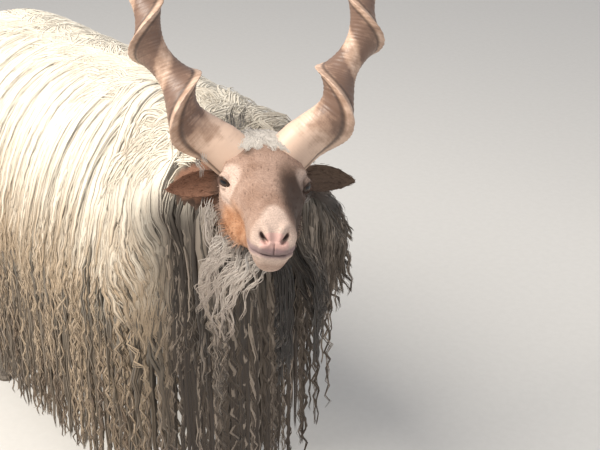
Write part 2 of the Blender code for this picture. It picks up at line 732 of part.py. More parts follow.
def tuft_locks(head, chance):
    """Falls of the locks between the horns, which lie forward over the brow."""
    surface = surface_of(head)
    forward, left, brow = (Vector(axis) for axis in head_axes())
    falls = []
    for row, (u, count) in enumerate(TUFT_ROWS):
        for i in range(count):
            v = 0.015 * (i - (count - 1) / 2)
            root, normal, _, _ = surface.ray_cast(Vector(on_head(u, v, 0.0)), brow)
            lay = forward * 2.2 + left * v * 14
            way = fall(root, normal, lay, [(surface, 0.005 + 0.007 * row, [])], TUFT_LENGTH)
            falls.append((way, chance.uniform(0, 6.28)))
    return falls


def grow_locks(name, falls, size, grow=0.0):
    """Locks along their falls, all of one width and thickness, or grown to cut with."""
    return [
        mesh_object(f"{name}_{i}", *lock_shape(way, *size, phase, grow), ("wool", WOOL))
        for i, (way, phase) in enumerate(falls)
    ]


def build_trunk_core():
    rows = [(x, 0.0, top, bottom, half) for x, top, bottom, half in TRUNK]
    return upright_loft("torso", rows, 15, 16, 2.25, ("wool", WOOL))


def build_neck_core():
    return upright_loft("neck", NECK, 9, 14, 2.1, ("wool", WOOL))


def build_tail_core():
    rows = smooth_rows(TAIL, 13)
    radii = np.stack([rows[:, 3], rows[:, 3]], axis=1)
    return path_loft("tail", rows[:, :3], radii, 10, ("wool", WOOL))


def stand_on_origin(nodes):
    """Sets the whole animal over the origin, through one empty that carries every node."""
    low, high = np.full(3, 1e9), np.full(3, -1e9)
    for node in nodes:
        points = np.array([v.co for v in node.data.vertices])
        low, high = np.minimum(low, points.min(0)), np.maximum(high, points.max(0))
    middle = (low + high) / 2
    stance = bpy.data.objects.new("stance", None)
    bpy.context.scene.collection.objects.link(stance)
    stance.location = Vector((-middle[0], -middle[1], -low[2]))
    for node in nodes:
        node.parent = stance


def main():
    for old in list(bpy.data.objects):
        bpy.data.objects.remove(old)
    chance = random.Random(5)
    torso = build_trunk_core()
    skull = loft("skull", head_shape(18, 20), ("short_coat", SHORT_COAT))
    nodes, legs, horns, ears = [torso], [], [], []
    for side, word in SIDES:
        horns.append(loft(f"horn_{word}", horn_rings(side, 42, 12), ("horn", HORN), side < 0))
        ears.append(loft(f"ear_{word}", ear_rings(side, 10, 6), ("short_coat", SHORT_COAT)))
        eyeball = (EYE_RADIUS,) * 3
        nodes.append(ball(f"eye_{word}", eye_centre(side), eyeball, head_axes(), 14, ("eye", EYE)))
        limbs, surfaces = build_limbs(torso, side, word)
        nodes += limbs
        legs += surfaces
    nodes += [build_head(horns, chance), *horns, *ears]
    roots = [skull] + [grown(whole, 0) for whole in horns + ears]
    for i in range(2):
        clear_of(horns[i], [skull])
        clear_of(ears[i], [skull, roots[1 + i]])
    neck, tail = build_neck_core(), build_tail_core()
    fleece = trunk_locks(torso, legs, chance)
    mane = neck_locks(neck, torso, legs, roots[3:], chance)
    brush = tail_locks(tail, legs, chance)
    combine(neck, grow_locks("mane", mane, LOCK), "UNION")
    combine(tail, grow_locks("brush", brush, TAIL_LOCK), "UNION")
    for node, near in ((neck, lambda x: x > 0.1), (tail, lambda x: x < -0.2)):
        close = [(way, phase) for way, phase in fleece if near(way[0][0, 0])]
        cutters = grow_locks("close", close, LOCK, 1.5 * GAP)
        cutters += [grown(other, GAP) for other in (torso, *roots)]
        combine(node, cutters, "DIFFERENCE")
    combine(torso, grow_locks("fleece", fleece, LOCK), "UNION")
    for root in roots:
        bpy.data.objects.remove(root)
    stand_on_origin([*nodes, neck, tail])


main()
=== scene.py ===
# %% [markdown]
# # A racka ram in long wool
#
# This script dresses the solid model of a standing racka ram. The solids give the pose and the
# outline. Here the ram gets one skin with a finely shaped head, ribbed horns, wet eyes, hooves,
# and a coat of more than ten thousand crimped locks and strands that hang as real fleece does.

import json
import math
from collections import namedtuple

import bpy
import numpy as np
from bpy.types import NodeSocket
from mathutils import Matrix, Vector

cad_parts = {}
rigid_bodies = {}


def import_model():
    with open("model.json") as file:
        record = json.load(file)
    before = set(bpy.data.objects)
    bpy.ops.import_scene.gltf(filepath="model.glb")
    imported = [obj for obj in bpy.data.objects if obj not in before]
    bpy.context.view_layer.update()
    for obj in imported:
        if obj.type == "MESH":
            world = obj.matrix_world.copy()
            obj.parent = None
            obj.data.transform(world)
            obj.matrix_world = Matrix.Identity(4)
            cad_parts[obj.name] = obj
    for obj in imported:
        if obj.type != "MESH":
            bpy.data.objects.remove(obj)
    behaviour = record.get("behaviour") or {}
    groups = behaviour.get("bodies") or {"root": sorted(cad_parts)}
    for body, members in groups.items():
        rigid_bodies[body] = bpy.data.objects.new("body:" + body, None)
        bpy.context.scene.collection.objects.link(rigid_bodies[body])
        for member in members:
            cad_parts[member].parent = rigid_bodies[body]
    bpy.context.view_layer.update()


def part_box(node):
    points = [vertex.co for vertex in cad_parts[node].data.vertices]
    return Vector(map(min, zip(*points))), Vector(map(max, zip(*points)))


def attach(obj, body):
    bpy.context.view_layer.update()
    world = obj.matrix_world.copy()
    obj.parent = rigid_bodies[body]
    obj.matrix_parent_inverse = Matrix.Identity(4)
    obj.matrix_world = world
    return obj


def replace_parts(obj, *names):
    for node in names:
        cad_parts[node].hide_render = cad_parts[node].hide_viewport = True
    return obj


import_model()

# %% [markdown]
# ## The ram's own measures
#
# Every shape below is a formula in the ram's walking frame: x forward, y to its left, z up. The
# face has a frame of its own, since the head is turned and pitched. The solids were centred over
# the origin, so one shift, read from the left eye, takes walking places to the scene.

# %% Where the head is held
EYE_MID = np.array([0.565, -0.050, 0.692])
HEAD_TURN = math.radians(-33)
HEAD_PITCH = math.radians(4)
FACE_LEAN = math.radians(7)
EYE_OUT, EYE_LEVEL = 0.0530, 0.002
EYE_RADIUS = 0.0145
SIDES = ((1, "left"), (-1, "right"))
rng = np.random.default_rng(11)


def head_axes(lean=FACE_LEAN):
    """Unit ways forward along the face, to the ram's left, and up through the brow: the level
    ways turned by HEAD_TURN, tipped by HEAD_PITCH and leaned by the given angle."""
    level = np.array([math.cos(HEAD_TURN), math.sin(HEAD_TURN), 0.0])
    left = np.array([-level[1], level[0], 0.0])
    ahead = level * math.cos(HEAD_PITCH) - np.array([0, 0, math.sin(HEAD_PITCH)])
    left = left * math.cos(lean) - np.cross(ahead, left) * math.sin(lean)
    return np.array([ahead, left, np.cross(ahead, left)])


def on_head(local, lean=FACE_LEAN):
    """Places given as forward, left and up from the point between the eyes."""
    return EYE_MID + np.asarray(local) @ head_axes(lean)


def to_head(places, lean=FACE_LEAN):
    """The face's own coordinates of walking places: the offset from EYE_MID, read on its axes."""
    return (np.asarray(places) - EYE_MID) @ head_axes(lean).T


low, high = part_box("eye_left")
SHIFT = np.array((low + high) / 2) - on_head([0, EYE_OUT, EYE_LEVEL])
print("the scene lies at", np.round(SHIFT, 4), "from the walking frame")

# %% [markdown]
# ## The camera
#
# The photo was taken from the ram's front right, a little above its head, from close by with a
# long lens. The camera is set so that the point between the eyes falls on the pixel where the
# photo has it.

# %% Place the camera
IMAGE = (600, 450)
FOCAL_PIXELS = 1300.0
DISTANCE = 1.90
EYE_MID_PIXEL = (265.0, 184.0)
AZIMUTH, ELEVATION = math.radians(50), math.radians(24.5)

back = Vector(
    (
        math.sin(AZIMUTH) * math.cos(ELEVATION),
        -math.cos(AZIMUTH) * math.cos(ELEVATION),
        math.sin(ELEVATION),
    )
)
right = Vector((math.cos(AZIMUTH), math.sin(AZIMUTH), 0))
up = back.cross(right)
per_pixel = DISTANCE / FOCAL_PIXELS
aim = Vector(EYE_MID + SHIFT)
aim += right * (IMAGE[0] / 2 - EYE_MID_PIXEL[0]) * per_pixel
aim -= up * (IMAGE[1] / 2 - EYE_MID_PIXEL[1]) * per_pixel


def add_object(name, data):
    """A new object with its data, linked to the scene."""
    made = bpy.data.objects.new(name, data)
    bpy.context.scene.collection.objects.link(made)
    return made


camera = bpy.data.cameras.new("camera")
camera.sensor_width = 36
camera.lens = camera.sensor_width * FOCAL_PIXELS / IMAGE[0]
holder = add_object("camera", camera)
turn = Matrix((right, up, back)).transposed()
holder.matrix_world = Matrix.Translation(aim + back * DISTANCE) @ turn.to_4x4()
bpy.context.scene.camera = holder
print("lens", round(camera.lens, 1), "mm from", tuple(round(c, 3) for c in holder.location))

# %% [markdown]
# ## Tools for surfaces
#
# A surface is a grid of places worked out at once. These helpers turn such a grid into a mesh,
# closed at both ends, and put arrays straight into Blender's own mesh data, which is far quicker
# than lists when there are a hundred thousand faces.


# %% Turn arrays into meshes
def new_mesh(name, points, corners, counts):
    """An object from places (n, 3), the corner numbers of all faces in one row, and how many
    corners each face has. The places are moved by SHIFT into the scene."""
    mesh = bpy.data.meshes.new(name)
    mesh.vertices.add(len(points))
    mesh.vertices.foreach_set("co", (np.asarray(points) + SHIFT).astype(np.float32).ravel())
    mesh.loops.add(len(corners))
    mesh.loops.foreach_set("vertex_index", corners.astype(np.int32))
    mesh.polygons.add(len(counts))
    mesh.polygons.foreach_set("loop_start", (np.cumsum(counts) - counts).astype(np.int32))
    mesh.update(calc_edges=True)
    mesh.validate()
    mesh.shade_smooth()
    return add_object(name, mesh)


def faces(*objects):
    """How many faces some objects have in all."""
    return sum(len(made.data.polygons) for made in objects)


def tube(name, rings):
    """A closed tube from rings (ring, corner, 3): quads between neighbouring rings, and each end
    closed by triangles to the middle of its ring."""
    rings = np.asarray(rings, float)
    count, sides = rings.shape[:2]
    points = np.vstack([rings.reshape(-1, 3), rings[0].mean(0), rings[-1].mean(0)])
    i, j = np.meshgrid(np.arange(count - 1), np.arange(sides), indexing="ij")
    k = (j + 1) % sides
    quads = np.stack([i * sides + j, i * sides + k, (i + 1) * sides + k, (i + 1) * sides + j], -1)
    j = np.arange(sides)
    k, last = (j + 1) % sides, (count - 1) * sides
    near = np.stack([k, j, np.full(sides, count * sides)], -1)
    far = np.stack([last + j, last + k, np.full(sides, count * sides + 1)], -1)
    corners = np.concatenate([quads.ravel(), near.ravel(), far.ravel()])
    return new_mesh(name, points, corners, np.repeat([4, 3, 3], [quads[..., 0].size, sides, sides]))


def places_of(obj):
    """An object's corners in the walking frame, as one array."""
    points = np.empty(len(obj.data.vertices) * 3, np.float32)
    obj.data.vertices.foreach_get("co", points)
    return points.reshape(-1, 3).astype(float) - SHIFT


def smooth_rows(rows, places):
    """Rows of numbers read at places between 0 and 1 from a smooth curve through them: each span
    is a cubic that leaves and meets its rows at the slope of their neighbours."""
    rows = np.array(rows, float)
    places = np.asarray(places) * (len(rows) - 1)
    first = np.clip(places.astype(int), 0, len(rows) - 2)
    t = (places - first)[:, None]
    slopes = np.gradient(rows, axis=0)
    a, b, m, n = rows[first], rows[first + 1], slopes[first], slopes[first + 1]
    ease = t * t * (3 - 2 * t)
    return a + (b - a) * ease + m * t * (1 - t) ** 2 - n * t * t * (1 - t)


def superellipse(angles, power):
    """Corners of a unit superellipse: |across|^power + |up|^power = 1."""
    c, s = np.cos(angles), np.sin(angles)
    return np.sign(c) * np.abs(c) ** (2 / power), np.sign(s) * np.abs(s) ** (2 / power)


def turns(count):
    """The angles of a whole turn in equal steps."""
    return np.linspace(0, 2 * math.pi, count, endpoint=False)


def unit(ways):
    """Ways made one long: each is divided by its length."""
    return ways / np.maximum(np.linalg.norm(ways, axis=-1, keepdims=True), 1e-12)


def hump(x, width):
    """A soft hump: 1 at x = 0 and near 0 beyond twice the width."""
    return np.exp(-((x / width) ** 2))


def ramp(x, start, end):
    """0 before start, 1 after end, and a smooth rise between."""
    t = np.clip((x - start) / (end - start), 0, 1)
    return t * t * (3 - 2 * t)


def crowded(count, hills):
    """Numbers from 0 to 1, closer together on hills, each a middle, a width and a height."""
    x = np.linspace(0, 1, 4000)
    density = 1 + sum(height * hump(x - middle, width) for middle, width, height in hills)
    walked = np.concatenate([[0], np.cumsum((density[1:] + density[:-1]) / 2)])
    return np.interp(np.linspace(0, walked[-1], count), walked, x)


print("a ramp from 0 to 1 is at", ramp(0.25, 0, 1), "after a quarter of its way")

# %% [markdown]
# ## The head
#
# A sheep's head is a blunt wedge: a broad brow, a long slightly arched nose and a narrow muzzle
# with soft lips. The base is a tube of superellipses along the face. What makes it a face are
# small swellings and grooves on it: the bony rim of the eye socket, the lids, the crest below the
# eye, the cheek, comma-shaped nostrils, the split under the nose and the line of the mouth. Each
# is a smooth hump or dip, added along the surface's own way out.

# %% Measure the head
HEAD = [
    (-0.118, 0.000, -0.040, 0.020),
    (-0.108, 0.022, -0.066, 0.042),
    (-0.080, 0.044, -0.094, 0.058),
    (-0.040, 0.050, -0.104, 0.062),
    (0.000, 0.042, -0.096, 0.061),
    (0.040, 0.033, -0.084, 0.050),
    (0.080, 0.026, -0.074, 0.0385),
    (0.115, 0.017, -0.070, 0.0345),
    (0.138, 0.003, -0.066, 0.0310),
    (0.150, -0.012, -0.050, 0.021),
]
HEAD_POWER = 2.3
SKIN_DEPTH = 0.0012
NOSE_START, NOSE_ROUND = 0.94, 0.006


def head_grid(along, around):
    """Rings of the bare head in its own frame: forward, left, up. Beyond the last station the
    rings shrink as a cosine while they move on as a sine, which rounds off the nose."""
    t = np.clip(along / NOSE_START, 0, 1)
    u, top, bottom, half = smooth_rows(HEAD, t).T[:, :, None]
    beyond = np.clip((along - NOSE_START) / (1 - NOSE_START), 0, 1)[:, None] * math.pi / 2
    shrink = np.cos(beyond * 0.96)
    across, rise = superellipse(around, HEAD_POWER)
    middle, tall = (top + bottom) / 2, (top - bottom) / 2 - SKIN_DEPTH
    v = (half - SKIN_DEPTH) * across * (1 + 0.16 * rise) * shrink
    w = middle + tall * rise * shrink
    return np.stack([u + NOSE_ROUND * np.sin(beyond) + 0 * v, v, w], -1)


def ways_out(grid):
    """The unit way out of a ring grid at each corner: the cross product of the way round the
    ring and the way on to the next ring."""
    round_it = np.roll(grid, -1, axis=1) - np.roll(grid, 1, axis=1)
    return unit(np.cross(round_it, np.gradient(grid, axis=0)))


print("the bare head is", round(HEAD[-1][0] - HEAD[0][0] + NOSE_ROUND, 3), "m long")

# %% [markdown]
# The face has little under its skin but bone and muscle, and they show. They could be sculpted
# with brushes. Here each is a product of humps and ramps along, across and up the face, so that a
# form can be moved, widened or deepened by changing one number.


# %% Shape the face
def face_relief(local):
    """How far the face stands out from the bare head, in metres, as a sum of humps and dips."""
    u, v, w = np.moveaxis(local, -1, 0)
    side = np.abs(v)
    # The rims of bone above and below the eye, and the cheek behind it.
    relief = 0.0050 * hump(u + 0.004, 0.020) * hump(w - 0.018, 0.011) * hump(side - 0.058, 0.022)
    relief += 0.0028 * hump(u - 0.004, 0.020) * hump(w + 0.016, 0.008) * ramp(side, 0.02, 0.045)
    relief += 0.0030 * hump(u + 0.040, 0.030) * hump(w + 0.058, 0.026) * ramp(side, 0.02, 0.045)
    # The crest that runs forward below the eye, and the hollows under it and beside the nose.
    crest = ramp(u, 0.0, 0.03) * ramp(-u, -0.11, -0.06) * ramp(side, 0.02, 0.034)
    relief += 0.0022 * hump(w + 0.010 + 0.10 * (u - 0.02), 0.007) * crest
    relief -= 0.0048 * hump(w + 0.030, 0.016) * hump(u - 0.062, 0.030) * ramp(side, 0.016, 0.034)
    relief -= 0.0026 * hump(w - 0.020, 0.014) * hump(u - 0.050, 0.030) * ramp(side, 0.020, 0.036)
    # The forehead's two swellings, the hollow behind the lips, the chin and the jaw.
    relief += 0.0022 * hump(u + 0.046, 0.030) * hump(side - 0.026, 0.014) * ramp(w, 0.0, 0.03)
    relief -= 0.0020 * ramp(u, 0.080, 0.125) * hump(w + 0.058, 0.020) * ramp(side, 0.012, 0.030)
    relief += 0.0020 * ramp(u, 0.090, 0.125) * ramp(-w, 0.056, 0.066) * hump(v, 0.022)
    relief += 0.0130 * hump(u - 0.040, 0.052) * hump(w + 0.068, 0.026) * ramp(side, 0.012, 0.034)
    # The folds of skin below the eye and in front of it.
    relief -= 0.0022 * hump(w + 0.024, 0.004) * hump(u - 0.024, 0.014) * ramp(side, 0.03, 0.045)
    fold = hump(u - 0.030 + 0.9 * (w + 0.012), 0.003) * hump(w + 0.012, 0.010)
    return relief - 0.0016 * fold * ramp(side, 0.036, 0.048)


print("the brow stands out", round(float(face_relief(np.array([0, 0.058, 0.018]))) * 1000, 1), "mm")

# %% [markdown]
# A sheep's nose has two comma-shaped nostrils with soft wings round them. Below them a narrow
# split runs down to the mouth, whose line turns round the front of the muzzle. Cutting them with
# Booleans would leave sharp edges, so they are pressed in as narrow dips of the same surface.

# %% Shape the muzzle
MOUTH_CORNER, MOUTH_DROP = 0.098, -0.032


def nostril(side, w, width):
    """A comma-shaped slit, 1 inside: a bent bar that slants outwards and up."""
    a = (side - 0.0155) * 0.72 + (w + 0.0110) * 0.69
    b = -(side - 0.0155) * 0.69 + (w + 0.0110) * 0.72
    return np.exp(-((a / 0.0072) ** 4) - (((b - 24 * a * a) / width) ** 2))


def muzzle_relief(local):
    """The wings of the nose, the nostrils, the split below them, the mouth's groove and lips."""
    u, v, w = np.moveaxis(local, -1, 0)
    side = np.abs(v)
    front = ramp(u, 0.100, 0.125)
    wing = np.hypot((side - 0.0190) / 0.010, (w + 0.0085) / 0.011)
    relief = 0.0028 * np.exp(-((wing - 1.1) ** 2) / 0.20) * ramp(u, 0.118, 0.134)
    relief -= 0.0100 * nostril(side, w, 0.0028) * ramp(u, 0.122, 0.134)
    split = hump(v, 0.0011) * ramp(-w, 0.012, 0.018) * ramp(w, -0.034, -0.031)
    relief -= 0.0026 * split * ramp(u, 0.138, 0.146)
    turn = np.arctan2(side, u - MOUTH_CORNER)
    line = MOUTH_DROP - 0.0047 * np.sin(turn) ** 2 - 0.0012 * hump(v, 0.010)
    along = ramp(u, MOUTH_CORNER, MOUTH_CORNER + 0.008)
    relief -= 0.0040 * hump(w - line, 0.0012) * along * (0.35 + 0.65 * ramp(-side, -0.026, -0.016))
    relief += 0.0016 * hump(w - line - 0.0052, 0.0036) * along
    relief += 0.0020 * hump(w - line + 0.0056, 0.0042) * along
    relief += 0.0014 * hump(w + 0.060, 0.010) * hump(u - 0.128, 0.014)
    return relief * front


print("the mouth is", round(-MOUTH_DROP, 3), "m below the eyes' level")

# %% [markdown]
# The lids are skin that lies on the eyeball, with an almond-shaped opening. Separate lids would
# need seams that can't be hidden. So the face's own surface is wrapped over the eyeball, raised in
# a rim along the opening, and dropped behind the ball inside it.

# %% Shape the lids
LID_DEPTH = 0.0016


def gaze_axes(side):
    """An eye's ways out through the pupil, back towards the ear, and up."""
    gaze = unit(np.array([0.70, side * 0.70, 0.12]))
    rise = unit(np.array([0.0, 0.0, 1.0]) - gaze * gaze[2])
    return gaze, np.cross(rise, gaze) * side, rise


def eye_relief(local):
    """Lids: near an eye the surface is drawn to a shell just outside the eyeball, and inside the
    almond of the opening it drops behind it. The almond's outer corner stands a little higher.
    Gives the moved places."""
    moved = local.copy()
    for side, _ in SIDES:
        centre = np.array([0.0, side * EYE_OUT, EYE_LEVEL])
        away = local - centre
        reach = np.linalg.norm(away, axis=-1)
        facing = away / np.maximum(reach, 1e-9)[..., None]
        ahead, backward, rise = gaze_axes(side)
        flat = facing * EYE_RADIUS
        a = flat @ backward
        b = flat @ rise - 0.12 * a
        seen = (facing @ ahead) > 0.2
        shell = centre + facing * (EYE_RADIUS + LID_DEPTH)
        near = np.where(seen, ramp(-reach, -0.0215, -0.0165), 0)[..., None]
        moved = moved * (1 - near) + shell * near
        upper = 0.0078 * (1 - (a / 0.0130) ** 2) - 0.0006
        lower = -0.0062 * (1 - (a / 0.0130) ** 2) - 0.0010
        beside = seen & (reach < 0.026)
        inside = np.where(beside, ramp(upper - b, 0, 0.0012) * ramp(b - lower, 0, 0.0012), 0)
        rim = np.where(beside, hump(b - upper, 0.0018) + hump(b - lower, 0.0016), 0)
        rim = rim * ramp(-np.abs(a), -0.0146, -0.0118)
        moved += facing * (0.0011 * np.clip(rim, 0, 1) * (1 - inside))[..., None]
        moved += (centre + facing * EYE_RADIUS * 0.72 - moved) * inside[..., None]
        fold = np.where(seen, hump(b - upper - 0.0052, 0.0012) * ramp(-np.abs(a), -0.013, -0.008), 0)
        moved -= facing * (0.0012 * fold)[..., None]
    return moved


print("each lid lies", LID_DEPTH, "m outside the eyeball")

# %% [markdown]
# The head is built from these rules in one go. An even grid would need several times the faces
# for the same lids and lips, so rings crowd at the eyes, the muzzle and the tip of the nose, and the
# corners of each ring crowd at the eyes' level and at the mouth.

# %% Build the head's surface
ALONG_HILLS = [(0.435, 0.055, 2.6), (0.90, 0.07, 1.8), (0.985, 0.02, 2.0)]
AROUND_HILLS = [(0.075, 0.045, 2.2), (0.425, 0.045, 2.2), (0.96, 0.06, 0.8), (0.54, 0.06, 0.8)]
grid = head_grid(crowded(210, ALONG_HILLS), 2 * math.pi * crowded(236, AROUND_HILLS)[:-1])
grid = grid + ways_out(grid) * (face_relief(grid) + muzzle_relief(grid))[..., None]
grid = eye_relief(grid)
head = tube("head_skin", on_head(grid))
print("head:", faces(head), "faces")

# %% [markdown]
# ## Trunk, neck, tail, legs and ears
#
# Under the wool the ram is a barrel with a short neck. These surfaces are the same shapes as the
# solids' cores, only finer, and they carry the roots of the coat. The legs show below the fleece:
# each runs from the shoulder or hip through the knee or hock and the fetlock to the hoof.

# %% Measure the body
TRUNK = [
    (-0.405, 0, 0.640, 0.540, 0.030),
    (-0.370, 0, 0.710, 0.465, 0.095),
    (-0.280, 0, 0.752, 0.410, 0.142),
    (-0.100, 0, 0.748, 0.375, 0.168),
    (0.100, 0, 0.748, 0.358, 0.168),
    (0.220, 0, 0.744, 0.350, 0.165),
    (0.320, 0, 0.708, 0.362, 0.155),
    (0.395, 0, 0.630, 0.395, 0.120),
    (0.436, 0, 0.565, 0.455, 0.040),
]
NECK = [
    (0.240, 0.000, 0.728, 0.420, 0.095),
    (0.310, 0.000, 0.726, 0.450, 0.122),
    (0.380, 0.000, 0.718, 0.500, 0.122),
    (0.440, -0.004, 0.716, 0.540, 0.096),
    (0.482, -0.014, 0.710, 0.575, 0.060),
    (0.514, -0.026, 0.680, 0.610, 0.028),
]
TAIL = [
    (-0.365, 0.000, 0.625, 0.028),
    (-0.415, 0.000, 0.632, 0.030),
    (-0.452, 0.000, 0.590, 0.027),
    (-0.468, 0.002, 0.510, 0.025),
    (-0.470, 0.006, 0.430, 0.021),
    (-0.466, 0.010, 0.350, 0.014),
    (-0.464, 0.012, 0.310, 0.005),
]
FRONT_LEG = [
    (0.225, 0.082, 0.430, 0.058, 0.036),
    (0.220, 0.086, 0.350, 0.042, 0.031),
    (0.232, 0.085, 0.275, 0.028, 0.025),
    (0.240, 0.084, 0.235, 0.0285, 0.027),
    (0.237, 0.084, 0.200, 0.0205, 0.020),
    (0.235, 0.085, 0.130, 0.0165, 0.016),
    (0.238, 0.085, 0.095, 0.0225, 0.021),
    (0.250, 0.085, 0.066, 0.0190, 0.0185),
    (0.258, 0.085, 0.046, 0.0250, 0.0225),
]
HIND_LEG = [
    (-0.265, 0.085, 0.440, 0.085, 0.045),
    (-0.280, 0.088, 0.360, 0.064, 0.037),
    (-0.318, 0.090, 0.300, 0.042, 0.029),
    (-0.352, 0.090, 0.252, 0.0325, 0.025),
    (-0.350, 0.090, 0.215, 0.0255, 0.0215),
    (-0.338, 0.090, 0.150, 0.0185, 0.0175),
    (-0.330, 0.090, 0.095, 0.0225, 0.021),
    (-0.318, 0.090, 0.066, 0.0190, 0.0185),
    (-0.310, 0.090, 0.046, 0.0250, 0.0225),
]
UPPER_FRONT = (0.225, 0.0492, 0.560, 0.0348, 0.018)
UPPER_HIND = (-0.265, 0.051, 0.570, 0.051, 0.0225)
FEET = [
    ("front_left", 1, FRONT_LEG, UPPER_FRONT, 0.020),
    ("hind_left", 1, HIND_LEG, UPPER_HIND, -0.022),
    ("front_right", -1, FRONT_LEG, UPPER_FRONT, -0.018),
    ("hind_right", -1, HIND_LEG, UPPER_HIND, 0.024),
]
TRUNK_POWER, NECK_POWER = 2.25, 2.1
LEG_TOP, LEG_SPAN = 0.44, 0.39
print("the trunk is", round(TRUNK[-1][0] - TRUNK[0][0], 3), "m long without its wool")

# %% [markdown]
# Trunk and neck run along x, so they are lofts of upright rings. Tail and legs bend, so their rings
# stand across the path instead. A skin modifier would be quicker to set up, but it would not keep
# the measured widths, and the coat needs the same tables again to know how far out a place is.


# %% Build the body's surfaces
def loft_rings(rows, angles, power):
    """Upright rings across the x way: each is a superellipse as high and as wide as its row."""
    x, y, top, bottom, half = rows.T[:, :, None]
    across, rise = superellipse(angles, power)
    level = (top + bottom) / 2 + (top - bottom) / 2 * rise
    return np.stack([x + 0 * across, y + half * across, level], -1)


def upright_rings(stations, count, sides, power):
    """The rings of a smooth loft through stations."""
    return loft_rings(smooth_rows(stations, np.linspace(0, 1, count)), turns(sides), power)


def rings_along(path, sizes, sides, first_side):
    """Ellipses across a path: half sizes along the way nearest to first_side and across it."""
    ahead = unit(np.gradient(path, axis=0))
    side = unit(np.array(first_side) - ahead * (ahead @ np.array(first_side))[:, None])
    other = np.cross(ahead, side)
    angle = turns(sides)[None, :, None]
    round_it = sizes[:, :1, None] * np.cos(angle) * side[:, None]
    return path[:, None] + round_it + sizes[:, 1:, None] * np.sin(angle) * other[:, None]


def leg_rows(stations, side, ahead, count):
    """The middle and half sizes of a leg. Its foot is set ahead of the plain stance, and the rest
    less, in proportion to the drop from the leg's top."""
    rows = smooth_rows(stations, np.linspace(0, 1, count))
    reach = np.clip((LEG_TOP - rows[:, 2]) / LEG_SPAN, 0, 1)
    return np.column_stack([rows[:, 0] + ahead * reach, side * rows[:, 1], rows[:, 2:]])


def leg_rings(rows, sides):
    """A leg's rings, with the groove in front of the tendon behind each shank bone."""
    rings = rings_along(rows[:, :3], rows[:, 3:], sides, (1, 0, 0))
    angle = turns(sides)
    groove = hump(np.abs(np.sin(angle)) - 0.80, 0.16) * ramp(-np.cos(angle), 0, 0.3)
    shank = hump(rows[:, 2] - 0.155, 0.045)[:, None]
    return rings - ways_out(rings) * (0.0022 * shank * groove)[..., None]


trunk = tube("trunk", upright_rings(TRUNK, 100, 80, TRUNK_POWER))
neck = tube("neck_skin", upright_rings(NECK, 60, 64, NECK_POWER))
tail_rows = smooth_rows(TAIL, np.linspace(0, 1, 60))
tail = tube("tail_skin", rings_along(tail_rows[:, :3], tail_rows[:, [3, 3]], 24, (0, 1, 0)))
legs = [
    tube(name + "_skin", leg_rings(leg_rows(stations, side, ahead, 110), 40))
    for name, side, stations, _, ahead in FEET
]
print("body:", faces(trunk, neck, tail, *legs), "faces")

# %% [markdown]
# The ear is a leaf rolled into a shallow scoop. Its rings are thin crescents, so the ear is a
# thin solid with a real hollow. A lengthwise ridge inside is the fold of its cartilage.

# %% Build the ears
EAR_LENGTH, EAR_WIDTH = 0.106, 0.041


def ear_frame(side):
    """Where an ear starts, and its ways towards the tip, to the front and up."""
    root = np.array([-0.050, side * 0.040, -0.020])
    way = unit(np.array([-0.20, side * 0.97, -0.02]))
    front = np.array([0.86, side * 0.20, 0.10])
    front = unit(front - way * front.dot(way))
    return root, way, front, np.cross(front, way) * side


def ear_half(s):
    """Half the ear's width at a share of its length: a sine, so a leaf with a broad base."""
    return EAR_WIDTH / 2 * np.sin(math.pi * np.clip(0.14 + 0.86 * s, 0, 1) ** 1.15) ** 0.8 + 0.0008


def ear_rings(side, count, half_sides):
    """Crescents across the ear, as wide as ear_half says."""
    s = np.linspace(0, 1, count)[:, None]
    root, way, front, rise = ear_frame(side)
    half = ear_half(s)
    cup = 0.72 * half * (1 - 0.55 * s)
    thick = 0.0026 - 0.0014 * s
    j = np.linspace(-1, 1, half_sides)
    bend = 1 - j**2
    rim = np.sqrt(np.clip(1 - 0.93 * j**2, 0, 1))
    ridges = hump(j - 0.25, 0.10) + hump(j + 0.30, 0.12)
    fold = 0.0012 * ridges * ramp(s, 0.0, 0.2) * ramp(-s, -0.85, -0.4)
    backs = np.stack(np.broadcast_arrays(half * j, -cup * bend - thick * rim), -1)
    hollow = np.stack(np.broadcast_arrays(half * j, -cup * bend + thick * rim + fold), -1)[:, ::-1]
    outline = np.concatenate([backs, hollow], axis=1)
    line = root + way * EAR_LENGTH * s + np.array([0.012, 0, -0.010]) * s**2
    local = line[:, None] + outline[..., :1] * rise + outline[..., 1:] * front
    return on_head(local[:, ::-1] if side < 0 else local, 0)


ears = [tube(f"ear_{word}_skin", ear_rings(side, 64, 30)) for side, word in SIDES]
print("ears:", faces(*ears), "faces")

# %% [markdown]
# ## One skin
#
# Head, neck, trunk, tail, legs and ears are parts of one animal, so they are joined into one
# closed skin with a Boolean union. A remesh would melt them together more softly, but would lose
# the fine lids and lips. The skin then stands for all the flesh nodes of the solids.


# %% Join the skin
def union(base, others):
    """Joins closed surfaces into one with a Boolean modifier on a collection, then applies it."""
    group = bpy.data.collections.new("joined")
    bpy.context.scene.collection.children.link(group)
    for other in others:
        bpy.context.scene.collection.objects.unlink(other)
        group.objects.link(other)
    join = base.modifiers.new("join", "BOOLEAN")
    join.operation, join.solver = "UNION", "MANIFOLD"
    join.operand_type, join.collection = "COLLECTION", group
    bpy.context.view_layer.update()
    graph = bpy.context.evaluated_depsgraph_get()
    base.data = bpy.data.meshes.new_from_object(base.evaluated_get(graph))
    base.modifiers.clear()
    for other in others:
        bpy.data.objects.remove(other)
    bpy.data.collections.remove(group)
    base.data.shade_smooth()
    return base


